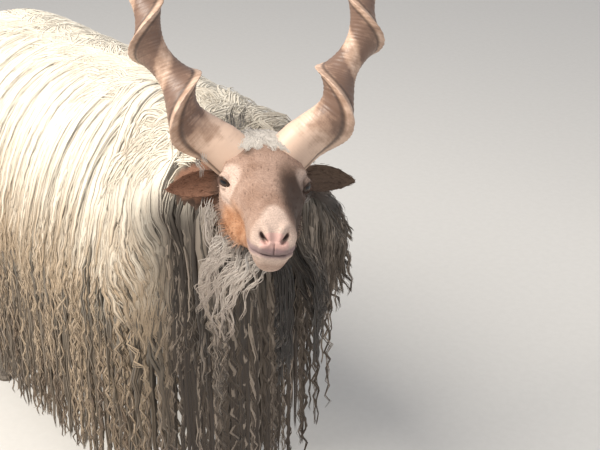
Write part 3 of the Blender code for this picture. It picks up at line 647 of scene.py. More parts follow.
skin = union(head, [neck, trunk, tail, *ears, *legs])
skin.name = "skin"
FLESH = ["head", "neck", "torso", "tail", "ear_left", "ear_right"]
FLESH += [f"leg_{place}_{word}" for place in ("front", "hind") for _, word in SIDES]
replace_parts(skin, *FLESH)
print("skin:", faces(skin), "faces")

# %% [markdown]
# ## Horns
#
# A racka's horns stand up and apart from the poll and wind like a corkscrew, with a sharp keel on
# the outside of the winding. Horn grows in rings: fine ribs a few millimetres apart, with a
# deeper groove where growth stopped for a season. A bump in the material could draw them, but the
# ribs also notch the horn's outline, so they are real relief here.

# %% Build the horns
HORN_LENGTH, HORN_PITCH, HORN_STRAIGHT = 0.46, 0.122, 0.080
HORN_RADIUS, HORN_SWING = 0.0365, 0.013
RIB_SPACING, SEASON_SPACING = 0.0062, 0.047
HORN_RINGS, HORN_SIDES = 380, 60


def horn_grid(side, count, sides):
    """A tapering corkscrew. A middle line swings from outwards to upwards, the section turns once
    in each HORN_PITCH along it, and the section's centre circles the line by HORN_SWING. Ribs and
    grooves take a little off the section's size as waves of the length grown."""
    t = np.linspace(0, 1, count)
    start, end = np.array([-0.20, side * 0.70, 0.62]), np.array([-0.42, side * 0.30, 0.80])
    way = unit(start + (end - start) * ramp(t, 0.14, 0.36)[:, None])
    step = HORN_LENGTH / (count - 1)
    line = np.vstack([np.zeros(3), np.cumsum((way[1:] + way[:-1]) / 2 * step, axis=0)])
    line += np.array([-0.046, side * 0.033, 0.022])
    across = unit(np.cross(way, [1.0, 0, 0]))
    other = np.cross(way, across)
    grown = t * HORN_LENGTH
    late = 0.02 * np.log1p(np.exp((grown - HORN_STRAIGHT) / 0.02))
    phase = (-side * (2 * math.pi * late / HORN_PITCH - 0.35) + (0 if side > 0 else math.pi))[:, None]
    out = np.cos(phase) * across + np.sin(phase) * other
    flank = np.cross(way, out)
    size = (HORN_RADIUS * (1 - t) ** 0.58 + 0.0015)[:, None]
    swing = (HORN_SWING * np.clip((t - 0.08) / 0.15, 0, 1) * (1 - t) ** 0.7)[:, None]
    centre = line + swing * out
    angle = turns(sides)
    from_keel = np.minimum(angle, 2 * math.pi - angle)
    uneven = 0.6 * np.sin(grown * 83) + 0.3 * np.sin(grown * 211)
    ribs = 0.5 + 0.5 * np.cos(2 * math.pi * (grown / RIB_SPACING + uneven))
    seasons = np.maximum(np.sin(2 * math.pi * grown / SEASON_SPACING + 1.1), 0.80)
    rough = 0.0009 * (1 - ribs**1.5) * ramp(t, 0.03, 0.25) + 0.0014 * seasons - 0.0011
    shallow = (rough * (1 - 0.6 * t))[:, None] * (1 + 0.042 * np.cos(angle))
    grooves = 0.0016 * hump(from_keel - 0.62, 0.12) * (1 - t[:, None])
    size = size - shallow - grooves
    long = np.where(np.cos(angle) > 0, 1.02, 0.84) * np.cos(angle) + 0.26 * hump(from_keel, 0.38)
    wide = 0.80 * np.sin(angle)
    local = centre[:, None] + (size * long)[..., None] * out[:, None]
    return local + (size * wide)[..., None] * flank[:, None], t, angle


def add_values(obj, name, values):
    """Stores an array of numbers, or of vectors, at an object's corners under a name."""
    values = np.asarray(values, np.float32)
    kind, field = ("FLOAT", "value") if values.ndim == 1 else ("FLOAT_VECTOR", "vector")
    obj.data.attributes.new(name, kind, "POINT").data.foreach_set(field, values.ravel())


horns = []
for side, word in SIDES:
    local, t, angle = horn_grid(side, HORN_RINGS, HORN_SIDES)
    horn = tube(f"horn_{word}_ribbed", on_head(local, 0))
    keel = np.concatenate([np.tile(np.cos(angle), len(t)), [0, 0]])
    flank = np.concatenate([np.tile(np.sin(angle), len(t)), [0, 0]])
    add_values(horn, "along", np.concatenate([np.repeat(t, len(angle)), [0, 1]]))
    add_values(horn, "round", np.stack([keel, flank, 0 * keel], -1))
    horns.append(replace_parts(horn, f"horn_{word}"))
print("horns:", faces(*horns), "faces")

# %% [markdown]
# ## Eyes and hooves
#
# A sheep's eye has an amber iris and a pupil drawn out level, like a letter box. Iris and pupil
# could be cut as parts of their own. A ball with a clear coat does as well, once each corner knows
# how far it lies from the middle of the pupil, because the material can draw the rest from that.

# %% Build the eyes
def eye_ball(side):
    """A ball in the face's frame: rings about the way it looks. Each corner keeps how far level
    and how far up it lies from the middle of the pupil."""
    gaze, backward, rise = gaze_axes(side)
    level = backward * -side
    polar = math.pi * (1 - np.linspace(0.006, 0.994, 60))[:, None]
    angle = turns(64)[None]
    a, b = np.sin(polar) * np.cos(angle), np.sin(polar) * np.sin(angle)
    local = EYE_RADIUS * (a[..., None] * level + b[..., None] * rise + np.cos(polar)[..., None] * gaze)
    seen = np.stack([a * EYE_RADIUS, b * EYE_RADIUS, np.cos(polar) + 0 * a], -1)
    return local + [0, side * EYE_OUT, EYE_LEVEL], seen


eyes = []
for side, word in SIDES:
    local, seen = eye_ball(side)
    eye = tube(f"eye_{word}_wet", on_head(local))
    add_values(eye, "seen", np.vstack([seen.reshape(-1, 3), [0, 0, -1], [0, 0, 1]]))
    eyes.append(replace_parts(eye, f"eye_{word}"))
print("eyes:", len(eyes))

# %% [markdown]
# A hoof is a shoe of horn that grows down from the coronet and is worn flat below. It has two
# claws, which could be two bodies. They hardly part in a ram that stands, so rings one below the
# other will do, with the cleft pressed in from the front and the back.

# %% Build the hooves
HOOF_HEIGHT = 0.045


def hoof_grid(x, y, levels, sides):
    """Rings of one foot from the coronet down: a squarish oval that widens and moves forward, with
    the cleft between the claws pressed in at the front and back, and rings of growth."""
    c, s = superellipse(turns(sides)[None], 2.5)
    down = (1 - levels / HOOF_HEIGHT)[:, None]
    grow = 0.86 + 0.34 * down - 0.08 * down**2
    ahead = 0.013 * down**1.2
    ribs = 0.0003 * np.sin(2 * math.pi * levels / 0.0042)[:, None] * ramp(down, 0.05, 0.2)
    cleft = hump(s, 0.16) * (0.30 * (c > 0) + 0.18 * (c < 0)) * ramp(down, 0.1, 0.6)
    sole = ramp(-levels, -0.0022, 0)[:, None] * 0.0012
    a = x + ahead + (0.0290 * grow + ribs - sole) * c * (1 - cleft)
    b = y + (0.0235 * grow + ribs - sole) * s
    return np.stack([a, b, levels[:, None] + 0 * a], -1)


hooves = []
levels = HOOF_HEIGHT * crowded(54, [(0.0, 0.03, 3)])
for name, side, stations, _, ahead in FEET:
    rings = hoof_grid(stations[-1][0] + ahead, side * stations[-1][1], levels, 72)
    hooves.append(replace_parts(tube(f"hoof_{name}_horn", rings), "hoof_" + name))
print("hooves:", len(hooves))

# %% [markdown]
# ## How the coat hangs
#
# Racka wool grows in long ropes. Each leaves the skin, then falls under its own weight, sliding
# over whatever lies below it. A lock from higher up lies outside those from lower down. The ropes
# are worked out all at once, a few millimetres at a time: each step goes down, loses the part
# that would go into the body, and is pushed out until the rope lies at its own depth. A search for
# the nearest face of the skin would be slow. The lofts have formulas, so those are asked instead.

# %% How far a place is from the body
LEG_END = 0.034


def fullness(places, table, power):
    """How far out a place is in a loft along x: 0 on its middle line, 1 on its surface."""
    x, y, z = np.moveaxis(places, -1, 0)
    middle, top, bottom, half = (np.interp(x, table[:, 0], column) for column in table[:, 1:].T)
    across = np.abs(y - middle) / half
    rise = np.abs(z - (top + bottom) / 2) / ((top - bottom) / 2)
    return (across**power + rise**power) ** (1 / power)


def leg_fullness(places, table):
    """The same for a leg, whose table runs up from the hoof: place across over half width, and
    more above the table's end, where the leg is shut."""
    x, y, z = np.moveaxis(places, -1, 0)
    a, b, long, wide = (np.interp(z, table[:, 2], table[:, i]) for i in (0, 1, 3, 4))
    above = np.maximum(z - table[-1, 2], 0) / LEG_END
    return np.sqrt(((x - a) / long) ** 2 + ((y - b) / wide) ** 2 + above**2)


def gap_and_way(measure, places):
    """The distance out from the surface where a measure is 1, taken as (measure - 1) over its
    slope, and the unit way in which the measure grows."""
    step = 0.002
    slope = [(measure(places + e) - measure(places - e)) / (2 * step) for e in np.eye(3) * step]
    slope = np.stack(slope, -1)
    size = np.maximum(np.linalg.norm(slope, axis=-1), 1e-6)
    return (measure(places) - 1) / size, slope / size[..., None]


def closed(rows):
    """A loft's table with its ends drawn shut, so that nothing is felt beyond them."""
    table = smooth_rows(rows, np.linspace(0, 1, 160))
    first, last = table[0].copy(), table[-1].copy()
    for end, way in ((first, -1), (last, 1)):
        end[0] += way * 0.012
        end[2:4] = end[2:4].mean() + np.array([0.006, -0.006])
        end[4] = 0.006
    return np.vstack([first, table, last])


trunk_table, neck_table = closed(TRUNK), closed(NECK)
leg_tables = []
for _, side, stations, upper, ahead in FEET:
    rows = leg_rows([upper, *stations], side, ahead, 120)
    leg_tables.append(rows[np.argsort(rows[:, 2])])


def on_trunk(places):
    """How far out places are in the trunk."""
    return fullness(places, trunk_table, TRUNK_POWER)


def on_neck(places):
    """How far out places are in the neck."""
    return fullness(places, neck_table, NECK_POWER)


def on_legs(places):
    """How far out places are in the leg that is least far away: the least of the four measures."""
    return np.min([leg_fullness(places, table) for table in leg_tables], axis=0)


withers = gap_and_way(on_trunk, np.array([[0.2, 0.0, 0.80]]))[0][0]
print("0.80 m up is", round(float(withers), 3), "m over the withers")

# %% [markdown]
# A simulation of cloth or hair could hang the ropes, but with thousands of them it takes long and
# hardly comes out the same twice. Here every rope walks down in fifty short steps. Its weight pulls
# it, the lay at its root fades, and each surface that it touches turns it and holds it up.

# %% Let ropes hang
DOWN = np.array([0.0, 0.0, -1.0])
MARCH = 50


def eased(rows, reach):
    """Each place along a rope made the mean of its neighbours on both sides, its root kept."""
    near = np.arange(-reach, reach + 1)[:, None] + np.arange(rows.shape[1])
    smooth = rows[:, np.clip(near, 0, rows.shape[1] - 1)].mean(1)
    smooth[:, 0] = rows[:, 0]
    return smooth


def hang(roots, outs, lays, lengths, surfaces, weight=DOWN, steer=0.12):
    """Places along each rope (rope, place, 3) and its way out there. It starts with a lay that
    fades over the distance steer, and follows its weight. A surface is a measure and a rule for
    the depth at which ropes slide over it."""
    place, out = roots + outs * 0.003, outs.copy()
    lines, ways = [roots - outs * 0.008, place], [out, out]
    step = lengths[:, None] / MARCH
    for i in range(MARCH):
        travelled = i * step
        way = weight + lays * np.maximum(0, 1 - travelled / steer)
        for measure, depth in surfaces:
            gap, facing = gap_and_way(measure, place)
            wanted = depth(place, roots) * np.minimum(1, 0.4 + travelled[:, 0] / 0.05)
            short = wanted - gap
            touch = (short > -0.004) & (gap > -0.15)
            inward = np.minimum((way * facing).sum(-1), 0)
            way = way + facing * np.where(touch, np.clip(short * 45, -0.5, 2.2) - inward, 0)[:, None]
            out = unit(out + 0.35 * facing * touch[:, None])
        place = place + unit(way) * step
        lines.append(place)
        ways.append(out)
    return eased(np.stack(lines, 1), 2), unit(eased(np.stack(ways, 1), 7))


print("each rope walks", MARCH, "steps")

# %% [markdown]
# Roots are spread over a core by its area, so that no part grows thin. Chance would leave clumps
# and gaps. The spread follows two running fractions of the golden kind, which fill a surface far
# more evenly.

# %% Spread the roots
SPREAD_SIDES = 240


def even_shares(number):
    """Two shares from 0 to 1 for each running number: what two steps of the golden kind, taken
    that many times, leave over a whole."""
    return (number * 0.7548776662) % 1, (number * 0.5698402910) % 1


def spread(count, table, power, start):
    """Places all over a loft along x, with the way out of it and where they lie on an unwrap of
    it: area along and length round are summed up in small pieces and shared out equally."""
    first, second = even_shares(np.arange(count) + start)
    rings = loft_rings(table, np.linspace(0, 2 * math.pi, SPREAD_SIDES + 1), power)
    round_it = np.linalg.norm(np.diff(rings, axis=1), axis=-1)
    slant = np.linalg.norm(np.diff(rings, axis=0), axis=-1)[:, :-1]
    area = np.concatenate([[0], np.cumsum((slant * (round_it[1:] + round_it[:-1]) / 2).sum(1))])
    row = np.interp(first * area[-1], area, np.arange(len(table)))
    whole = np.clip(row.astype(int), 0, len(table) - 2)
    part = (row - whole)[:, None]
    walked = np.cumsum(np.pad(round_it, ((0, 0), (1, 0))), axis=1)[whole]
    column = (walked < second[:, None] * walked[:, -1:]).sum(1) - 1
    column = np.clip(column, 0, SPREAD_SIDES - 1)
    ring = rings[whole] * (1 - part[..., None]) + rings[whole + 1] * part[..., None]
    pick = np.arange(count)
    span = walked[pick, column + 1] - walked[pick, column]
    t = ((second * walked[:, -1] - walked[pick, column]) / span)[:, None]
    places = ring[pick, column] * (1 - t) + ring[pick, column + 1] * t
    return places, np.column_stack([first, second])


print("one root of four:", np.round(spread(4, trunk_table, TRUNK_POWER, 0)[0][0], 3))

# %% [markdown]
# ## Ropes of the fleece
#
# Trunk ropes hang from the parting down both flanks. The deeper a rope falls below its own root,
# the more ropes it lies on. Those could be felt for one by one, which is slow. So a rope's depth
# simply grows with its drop. Chance gives each rope its first depth, its length and, near the top
# line, the side on which it falls.

# %% Hang the trunk's fleece
LAYER_GROWTH = 0.247
FIRST_LAYER, HALF_LAYER, UNDER_SHARE = 0.009, 0.007, 0.36
ROPE_LENGTH = 0.295
LEG_GAP = 0.011
TRUNK_ROPES, PARTING_WIDTH = 2050, 0.022
LOWEST_WOOL = 0.075


def keep(mask, *arrays):
    """The rows of each array for which the mask holds."""
    return [array[mask] for array in arrays]


def layered(first, lowest, extra_from=None):
    """The rule of depth: each rope's first depth, more for every drop below its root down to the
    lowest level, and more again below the level where it takes over from another fleece."""

    def depth(place, roots):
        height = np.maximum(place[:, 2], lowest)
        deep = first + LAYER_GROWTH * np.maximum(roots[:, 2] - height, 0)
        if extra_from is not None:
            deep = deep + LAYER_GROWTH * np.maximum(extra_from - height, 0)
        return deep

    return depth


def beside_legs(place, roots):
    """The rule of depth beside legs: one gap for all ropes."""
    return np.full(len(place), LEG_GAP)


def in_under_layer(first):
    """Which ropes start so near the skin that they are drawn as inner wool, darkened as painted shade."""
    return first < FIRST_LAYER + UNDER_SHARE * HALF_LAYER


def over_the_back(y, strength):
    """Sideways lay near the top line: away from the middle, but close to it either way by
    chance, so that hair crosses the parting and covers it."""
    either = np.where(rng.random(len(y)) < 0.5, -1.0, 1.0)
    return strength * np.where(np.abs(y) < PARTING_WIDTH, either, np.sign(y))


roots, flat = spread(TRUNK_ROPES, trunk_table, TRUNK_POWER, 0)
outs = gap_and_way(on_trunk, roots)[1]
under_neck = gap_and_way(on_neck, roots)[0] < -0.002
roots, outs, trunk_flat = keep((roots[:, 2] > 0.405) & ~under_neck, roots, outs, flat)
near_top = ramp(outs[:, 2], 0.55, 0.95)
lays = np.zeros_like(roots)
lays[:, 0] = -0.08
lays[:, 1] = near_top * over_the_back(roots[:, 1], 0.9)
first_depth = FIRST_LAYER + HALF_LAYER * rng.random(len(roots))
trunk_deep = in_under_layer(first_depth) & (roots[:, 2] < 0.68)
lengths = ROPE_LENGTH * rng.uniform(0.92, 1.14, len(roots))
lengths += 0.100 * ramp(-roots[:, 2], -0.61, -0.51) * ramp(roots[:, 0], -0.60, -0.42)


def over_trunk(first):
    """What trunk ropes slide over: the layers on the trunk, and the legs."""
    return [(on_trunk, layered(first, 0.40)), (on_legs, beside_legs)]


trunk_ropes, trunk_outs = hang(roots, outs, lays, lengths, over_trunk(first_depth))
trunk_ropes[..., 2] -= 0.4 * np.minimum(trunk_ropes[..., 2] - LOWEST_WOOL, 0)
print("trunk ropes:", len(trunk_ropes), "down to", round(trunk_ropes[..., 2].min() + SHIFT[2], 3), "m")

# %% [markdown]
# The mane hangs from the neck as the fleece hangs from the trunk, and goes on over the shoulder's
# wool, so its depth grows twice there. One loft for both would lose the step in front of the
# shoulder. The back of the skull stays free, since the ruff will grow there.

# %% Hang the mane
NECK_ROPES, NECK_START = 1850, 500
roots, flat = spread(NECK_ROPES, neck_table, NECK_POWER, NECK_START)
outs = gap_and_way(on_neck, roots)[1]
clear = gap_and_way(on_trunk, roots)[0] > 0.001
on_skull = np.abs(to_head(roots, 0)[:, 0] + 0.02) < 0.085
clear &= ~((roots[:, 0] > 0.47) & on_skull)
roots, outs, neck_flat = keep(clear, roots, outs, flat)
near_top = ramp(outs[:, 2], 0.55, 0.95)
lays = np.zeros_like(roots)
lays[:, 1] = near_top * over_the_back(roots[:, 1] + 0.012, 0.8)
first_depth = FIRST_LAYER + HALF_LAYER * rng.random(len(roots))
lengths = ROPE_LENGTH * rng.uniform(0.84, 1.10, len(roots))


def over_neck(first):
    """What mane ropes slide over: the layers on neck and shoulder, and the legs."""
    over_shoulder = (on_trunk, layered(first, 0.40, 0.62))
    return [(on_neck, layered(first, 0.45)), over_shoulder, (on_legs, beside_legs)]


neck_ropes, neck_outs = hang(roots, outs, lays, lengths, over_neck(first_depth))
print("mane ropes:", len(neck_ropes))

# %% [markdown]
# On top of the nape the wool has no parting. It stands up loose and uneven there, so short ropes
# with a lay in any direction are added. They will be drawn as fine strands without a broad lock.
# Ropes that would run through an ear are left out: moving them aside would crowd them.

# %% Add the nape's wool and free the ears
NAPE_ROPES, NAPE_START = 1300, 3000


def off_the_ears(ropes):
    """Which ropes stay clear of both ears: none of their places lies in the flat box round an
    ear, which is as long and wide as the ear and reaches from behind it to well before it."""
    free = np.ones(len(ropes), bool)
    for side, _ in SIDES:
        root, way, front, rise = ear_frame(side)
        away = to_head(ropes, 0) - root
        beside = (away @ way > -0.01) & (away @ way < EAR_LENGTH + 0.008)
        level = np.abs(away @ rise) < EAR_WIDTH / 2 + 0.004
        near = (away @ front > -0.020) & (away @ front < 0.08)
        free &= ~(beside & level & near).any(1)
    return free


def end_to_end(*pairs):
    """Each pair of arrays put end to end."""
    return [np.concatenate(pair) for pair in pairs]


roots, flat = spread(NAPE_ROPES, neck_table, NECK_POWER, NAPE_START)
outs = gap_and_way(on_neck, roots)[1]
nape = (outs[:, 2] > 0.72) & (roots[:, 0] > 0.34) & (roots[:, 0] < 0.475)
nape &= gap_and_way(on_trunk, roots)[0] > 0.001
roots, outs, flat = keep(nape, roots, outs, flat)
heading = rng.uniform(-1.5, 1.5, len(roots))
lays = 0.9 * np.column_stack([-np.cos(heading), np.sin(heading), 0.4 + 0 * heading])
deep = 0.018 + 0.020 * rng.random(len(roots))
ropes, ways = hang(roots, outs, lays, 0.105 * rng.uniform(0.7, 1.15, len(roots)), over_neck(deep))
neck_deep = in_under_layer(first_depth) & (neck_ropes[:, 1, 2] < 0.66)
neck_coat = end_to_end(
    (neck_ropes, ropes),
    (neck_outs, ways),
    (neck_flat, flat),
    (neck_deep, np.zeros(len(ropes), bool)),
    (np.zeros(len(neck_ropes), bool), np.ones(len(ropes), bool)),
)
neck_coat = keep(off_the_ears(neck_coat[0]), *neck_coat)
print("nape ropes:", len(ropes), "and with the mane, off the ears:", len(neck_coat[0]))

# %% [markdown]
# Some skin may still be bare, mostly along the back. More roots everywhere would cost many
# triangles. Instead a fine lattice notes where ropes run, and short loose ropes grow only from
# places where it is empty.

# %% Cover what lies bare
FILL_ROPES, FILL_START, CELL = 7000, 9000, 0.0062
both = np.concatenate([trunk_ropes, neck_coat[0]])


def covered(places, ropes):
    """Which places have a piece of rope in their own cell of a fine lattice, or in a cell next to
    it. A cell's number is the sum of its three whole coordinates times 1, 1000 and 1000000."""

    def number(rows):
        return (np.floor(rows / CELL).astype(np.int64) + 400) @ np.array([1, 1000, 1000000])

    taken = np.unique(number(ropes.reshape(-1, 3)))
    found = np.zeros(len(places), bool)
    for step in np.ndindex(3, 3, 3):
        found |= np.isin(number(places + (np.array(step) - 1.0) * CELL), taken)
    return found


def fill_in(table, power, measure, allowed, over_from, length):
    """Ropes for the bare places of a core that no other rope passes. They lie backwards, more or
    less, by chance. Gives the ropes, their ways out and unwrap places, and that none is deep and
    all are loose."""
    roots, flat = spread(FILL_ROPES, table, power, FILL_START)
    outs = gap_and_way(measure, roots)[1]
    bare = allowed(roots) & ~covered(roots + outs * 0.013, both)
    roots, outs, flat = keep(bare, roots, outs, flat)
    heading = rng.normal(0, 0.8, len(roots))
    lays = np.column_stack([-np.cos(heading), np.sin(heading), 0 * heading])
    roots = roots - lays * rng.uniform(0.012, 0.026, (len(roots), 1))
    first = FIRST_LAYER + HALF_LAYER * rng.uniform(0.6, 1.0, len(roots))
    lengths = length * rng.uniform(0.6, 1.1, len(roots))
    ropes, ways = hang(roots, outs, lays, lengths, over_from(first))
    return ropes, ways, flat, np.zeros(len(ropes), bool), np.ones(len(ropes), bool)


def bare_trunk(places):
    """The trunk's upper part, outside the neck."""
    return (places[:, 2] > 0.52) & (gap_and_way(on_neck, places)[0] > -0.002)


def bare_neck(places):
    """The neck outside the trunk and behind the face."""
    return (gap_and_way(on_trunk, places)[0] > 0.001) & (to_head(places, 0)[:, 0] < -0.115)


more = fill_in(trunk_table, TRUNK_POWER, on_trunk, bare_trunk, over_trunk, 0.13)
trunk_coat = (trunk_ropes, trunk_outs, trunk_flat, trunk_deep, np.zeros(len(trunk_ropes), bool))
trunk_coat = end_to_end(*zip(trunk_coat, more))
extra = fill_in(neck_table, NECK_POWER, on_neck, bare_neck, over_neck, 0.12)
extra = keep(off_the_ears(extra[0]), *extra)
neck_coat = end_to_end(*zip(neck_coat, extra))
print("ropes for bare places:", len(more[0]), "on the trunk,", len(extra[0]), "on the neck")

# %% [markdown]
# The tail is long and hangs to the hocks in a brush of its own wool. A loft along x can't say how
# far a place is from it, because it bends down, so the nearest point of its middle line is asked
# instead. Ropes grow from its outer side and its flanks, and follow it before they fall.

# %% Hang the tail's brush
TAIL_ROPES = 84


def on_tail(places):
    """How far out a place is in the tail: the least distance to a point of the tail's middle
    line, over the radius there."""
    apart = np.linalg.norm(places[:, None] - tail_rows[:, :3], axis=-1)
    return (apart / tail_rows[:, 3]).min(-1)


share = (np.arange(TAIL_ROPES) + 0.5) / TAIL_ROPES
turn = np.arange(TAIL_ROPES) * 0.618034 % 1
at = (0.05 + 0.75 * share**1.2) * (len(tail_rows) - 1)
middle = np.column_stack([np.interp(at, np.arange(len(tail_rows)), row) for row in tail_rows.T])
along = unit(np.gradient(middle[:, :3], axis=0))
sideways = np.array([0.0, 1.0, 0.0])
angle = 2.0 * (2 * turn - 1)[:, None]
outs = unit(np.cos(angle) * np.cross(sideways, along) + np.sin(angle) * sideways)
roots = middle[:, :3] + outs * middle[:, 3:]
tail_flat = np.column_stack([share, turn])
lengths = 0.200 * rng.uniform(0.85, 1.1, TAIL_ROPES)
first_depth = 0.004 + 0.006 * rng.random(TAIL_ROPES)
over = [(on_tail, layered(first_depth, 0.30)), (on_legs, beside_legs)]
tail_ropes, tail_outs = hang(roots, outs, 1.2 * along + 0.4 * angle * sideways, lengths, over)
print("tail ropes:", len(tail_ropes))

# %% [markdown]
# ## Strands of wool
#
# A rope is not one solid cord. It is several strands that start apart on the skin, draw together,
# wind loosely about each other and share one crimp, with the odd strand that strays. Hair curves
# would need a renderer that knows them. So each strand will be a slim closed body of three sides
# that ends in a point, built round the middle line that this cell gives.

# %% Turn ropes into strands
GOLDEN_ANGLE = 2.39996
# How a rope's strands lie: the crimp's wave length and height, the rope's width low down and at
# its root, how much broader a strand is near its root, the share of strands that stray, and the
# heights, taken downwards, between which the rope draws together.
FORM_NAMES = "wave height rope root flare stray clump"
Form = namedtuple("Form", FORM_NAMES, defaults=(0.0, 0.14, (-0.62, -0.36)))


def along_line(count):
    """Shares of a strand's length, closer together towards its tip."""
    return np.linspace(0, 1, count) ** 0.74


def strands_of(ropes, outs, each, points, form):
    """The middle lines of all strands (strand, place, 3) and their ways across and out. The
    strand's line is the rope's, plus the crimp across it, plus a winding offset from its middle."""
    s = along_line(points)
    at = s * (ropes.shape[1] - 1)
    low = np.clip(at.astype(int), 0, ropes.shape[1] - 2)
    t = (at - low)[:, None]
    line = ropes[:, low] * (1 - t) + ropes[:, low + 1] * t
    facing = unit(outs[:, low] * (1 - t) + outs[:, low + 1] * t)
    ahead = unit(np.gradient(line, axis=1))
    across = np.cross(ahead, facing)
    across[:, 0] = across[:, 1]
    across = unit(across)
    out = np.cross(across, ahead)
    length = np.linalg.norm(np.diff(ropes, axis=1), axis=-1).sum(1)
    root = ropes[:, 1]
    uneven = 0.18 * np.sin(root[:, 0] * 61 + root[:, 2] * 47) + 0.15 * np.sin(root[:, 0] * 911)
    wave = form.wave * (1 + uneven)
    phase = 2.6 * np.sin(root[:, 0] * 11 + 2.0) + 2.2 * np.sin(root[:, 2] * 13 + root[:, 0] * 5)
    phase = phase + 1.0 * np.sin(root[:, 0] * 997 + root[:, 2] * 613)
    walked = length[:, None] * s
    clump = ramp(-line[..., 2], *form.clump)
    height = form.height * (0.85 + 0.4 * np.sin(root[:, 0] * 733 + root[:, 2] * 389))[:, None]
    crimp = height * (0.15 + 0.85 * clump) * ramp(s, 0.04, 0.30) * (1 - 0.3 * ramp(s, 0.8, 1.0))
    swing = crimp * np.sin(2 * math.pi * walked / wave[:, None] + phase[:, None])
    lift = 0.5 * crimp * np.cos(2 * math.pi * walked / wave[:, None] + phase[:, None])
    count = len(ropes)
    start = rng.uniform(0, 2 * math.pi, (count, 1)) + np.arange(each) * GOLDEN_ANGLE
    reach = np.sqrt((np.arange(each) + 0.5) / each) * np.ones((count, 1))
    stray = rng.random((count, each)) < form.stray
    narrow = (form.root * (1 - clump) + form.rope * clump) * (1 - 0.5 * ramp(s, 0.6, 1.0))
    wide = narrow[:, None] * reach[..., None] * np.where(stray[..., None], 1 + 1.2 * s, 1)
    turn = start[..., None] + 2.4 * s + 0.5 * np.sin(5 * s + start[..., None])
    loose = np.where(stray, 1.4, 0.35)[..., None] * crimp[:, None] * 0.5
    own = loose * np.sin(2 * math.pi * walked[:, None] / (0.8 * wave[:, None, None]) + 3 * start[..., None])
    side = swing[:, None] + wide * np.cos(turn) + own
    high = lift[:, None] + (0.10 + 0.55 * clump[:, None]) * wide * np.sin(turn)
    lines = line[:, None] + side[..., None] * across[:, None] + high[..., None] * out[:, None]
    wider = 1 + form.flare * (1 - clump)
    across, out, facing, wider = (np.repeat(rows, each, axis=0) for rows in (across, out, facing, wider))
    return lines.reshape(-1, points, 3), across, out, s, facing, wider


print("a strand of five points has them at", np.round(along_line(5), 2))

# %% [markdown]
# Thousands of strands as objects of their own would choke the scene, so all strands of a piece
# share one mesh. Every corner stores what the wool's finish asks for later, and a small place on
# an unwrap of the skin, so that a strand's colour can be baked into one picture.

# %% Make one mesh of many strands
UV_PATCH = 0.003


def strand_object(name, strands, half, thick, tone, flat):
    """One mesh of many strands. Half width and thickness swell quickly from the root and draw to
    nothing at the tip, and the wider a strand is drawn, the flatter. Each strand keeps how far
    along it is, its tone, its edges, its way out, and a small place on the unwrap of the skin."""
    lines, across, out, s, facing, wider = strands
    count, points = lines.shape[:2]
    taper = (0.25 + 0.75 * ramp(s, 0.0, 0.14)) * (1 - s**3.0) ** 0.7
    swell = (half * taper * wider)[..., None] * rng.uniform(0.75, 1.3, (count, 1, 1))
    deep = (thick * (1 - 0.6 * s**2) / np.sqrt(wider))[..., None]
    below, above = lines - out * deep * 0.4, lines + out * deep * 0.6
    rings = np.stack([below + across * swell, below - across * swell, above], 2)[:, :-1]
    places = np.concatenate([rings.reshape(count, -1, 3), lines[:, -1:]], axis=1)
    size = places.shape[1]
    i, j = np.meshgrid(np.arange(points - 2), np.arange(3), indexing="ij")
    k = (j + 1) % 3
    quads = np.stack([3 * i + j, 3 * i + k, 3 * i + k + 3, 3 * i + j + 3], -1).reshape(-1, 4)
    last = 3 * (points - 2)
    ends = np.array([[0, 2, 1], *[[last + j, last + (j + 1) % 3, size - 1] for j in range(3)]])
    one = np.concatenate([quads.ravel(), ends.ravel()])
    counts = np.concatenate([np.full(len(quads), 4), np.full(len(ends), 3)])
    corners = (np.arange(count)[:, None] * size + one).ravel()
    made = new_mesh(name, places.reshape(-1, 3), corners, np.tile(counts, count))
    along = np.concatenate([np.repeat(s[:-1], 3), [1.0]])
    add_values(made, "along", np.tile(along, count))
    add_values(made, "tone", np.repeat(tone, size))
    add_values(made, "edge", np.tile(np.append(np.tile([1.0, 1.0, 0.0], points - 1), 0.5), count))
    facing = np.concatenate([np.repeat(facing[:, :-1], 3, axis=1), facing[:, -1:]], axis=1)
    add_values(made, "facing", facing.reshape(-1, 3))
    steps = np.linalg.norm(np.diff(lines, axis=1), axis=-1)
    walked = np.pad(np.cumsum(steps, axis=1), ((0, 0), (1, 0)))
    lie = np.zeros((count, size, 3))
    lie[:, :-1, 0] = np.tile([half, -half, 0.0], points - 1)
    lie[:, :-1, 1] = np.repeat(walked[:, :-1], 3, axis=1)
    lie[:, -1, 1] = walked[:, -1]
    lie[..., 2] = rng.random((count, 1)) * 20
    add_values(made, "lie", lie.reshape(-1, 3))
    uv = made.data.uv_layers.new(name="OFBake")
    local = np.column_stack([np.tile([0.0, 0.5, 1.0], points - 1), np.repeat(s[:-1], 3)])
    local = np.vstack([local, [0.5, 1.0]]) * UV_PATCH
    spots = (flat[:, None] + local[None]).reshape(-1, 2)[corners]
    uv.data.foreach_set("uv", spots.astype(np.float32).ravel())
    return made


print("a strand's patch on the unwrap is", UV_PATCH, "wide")
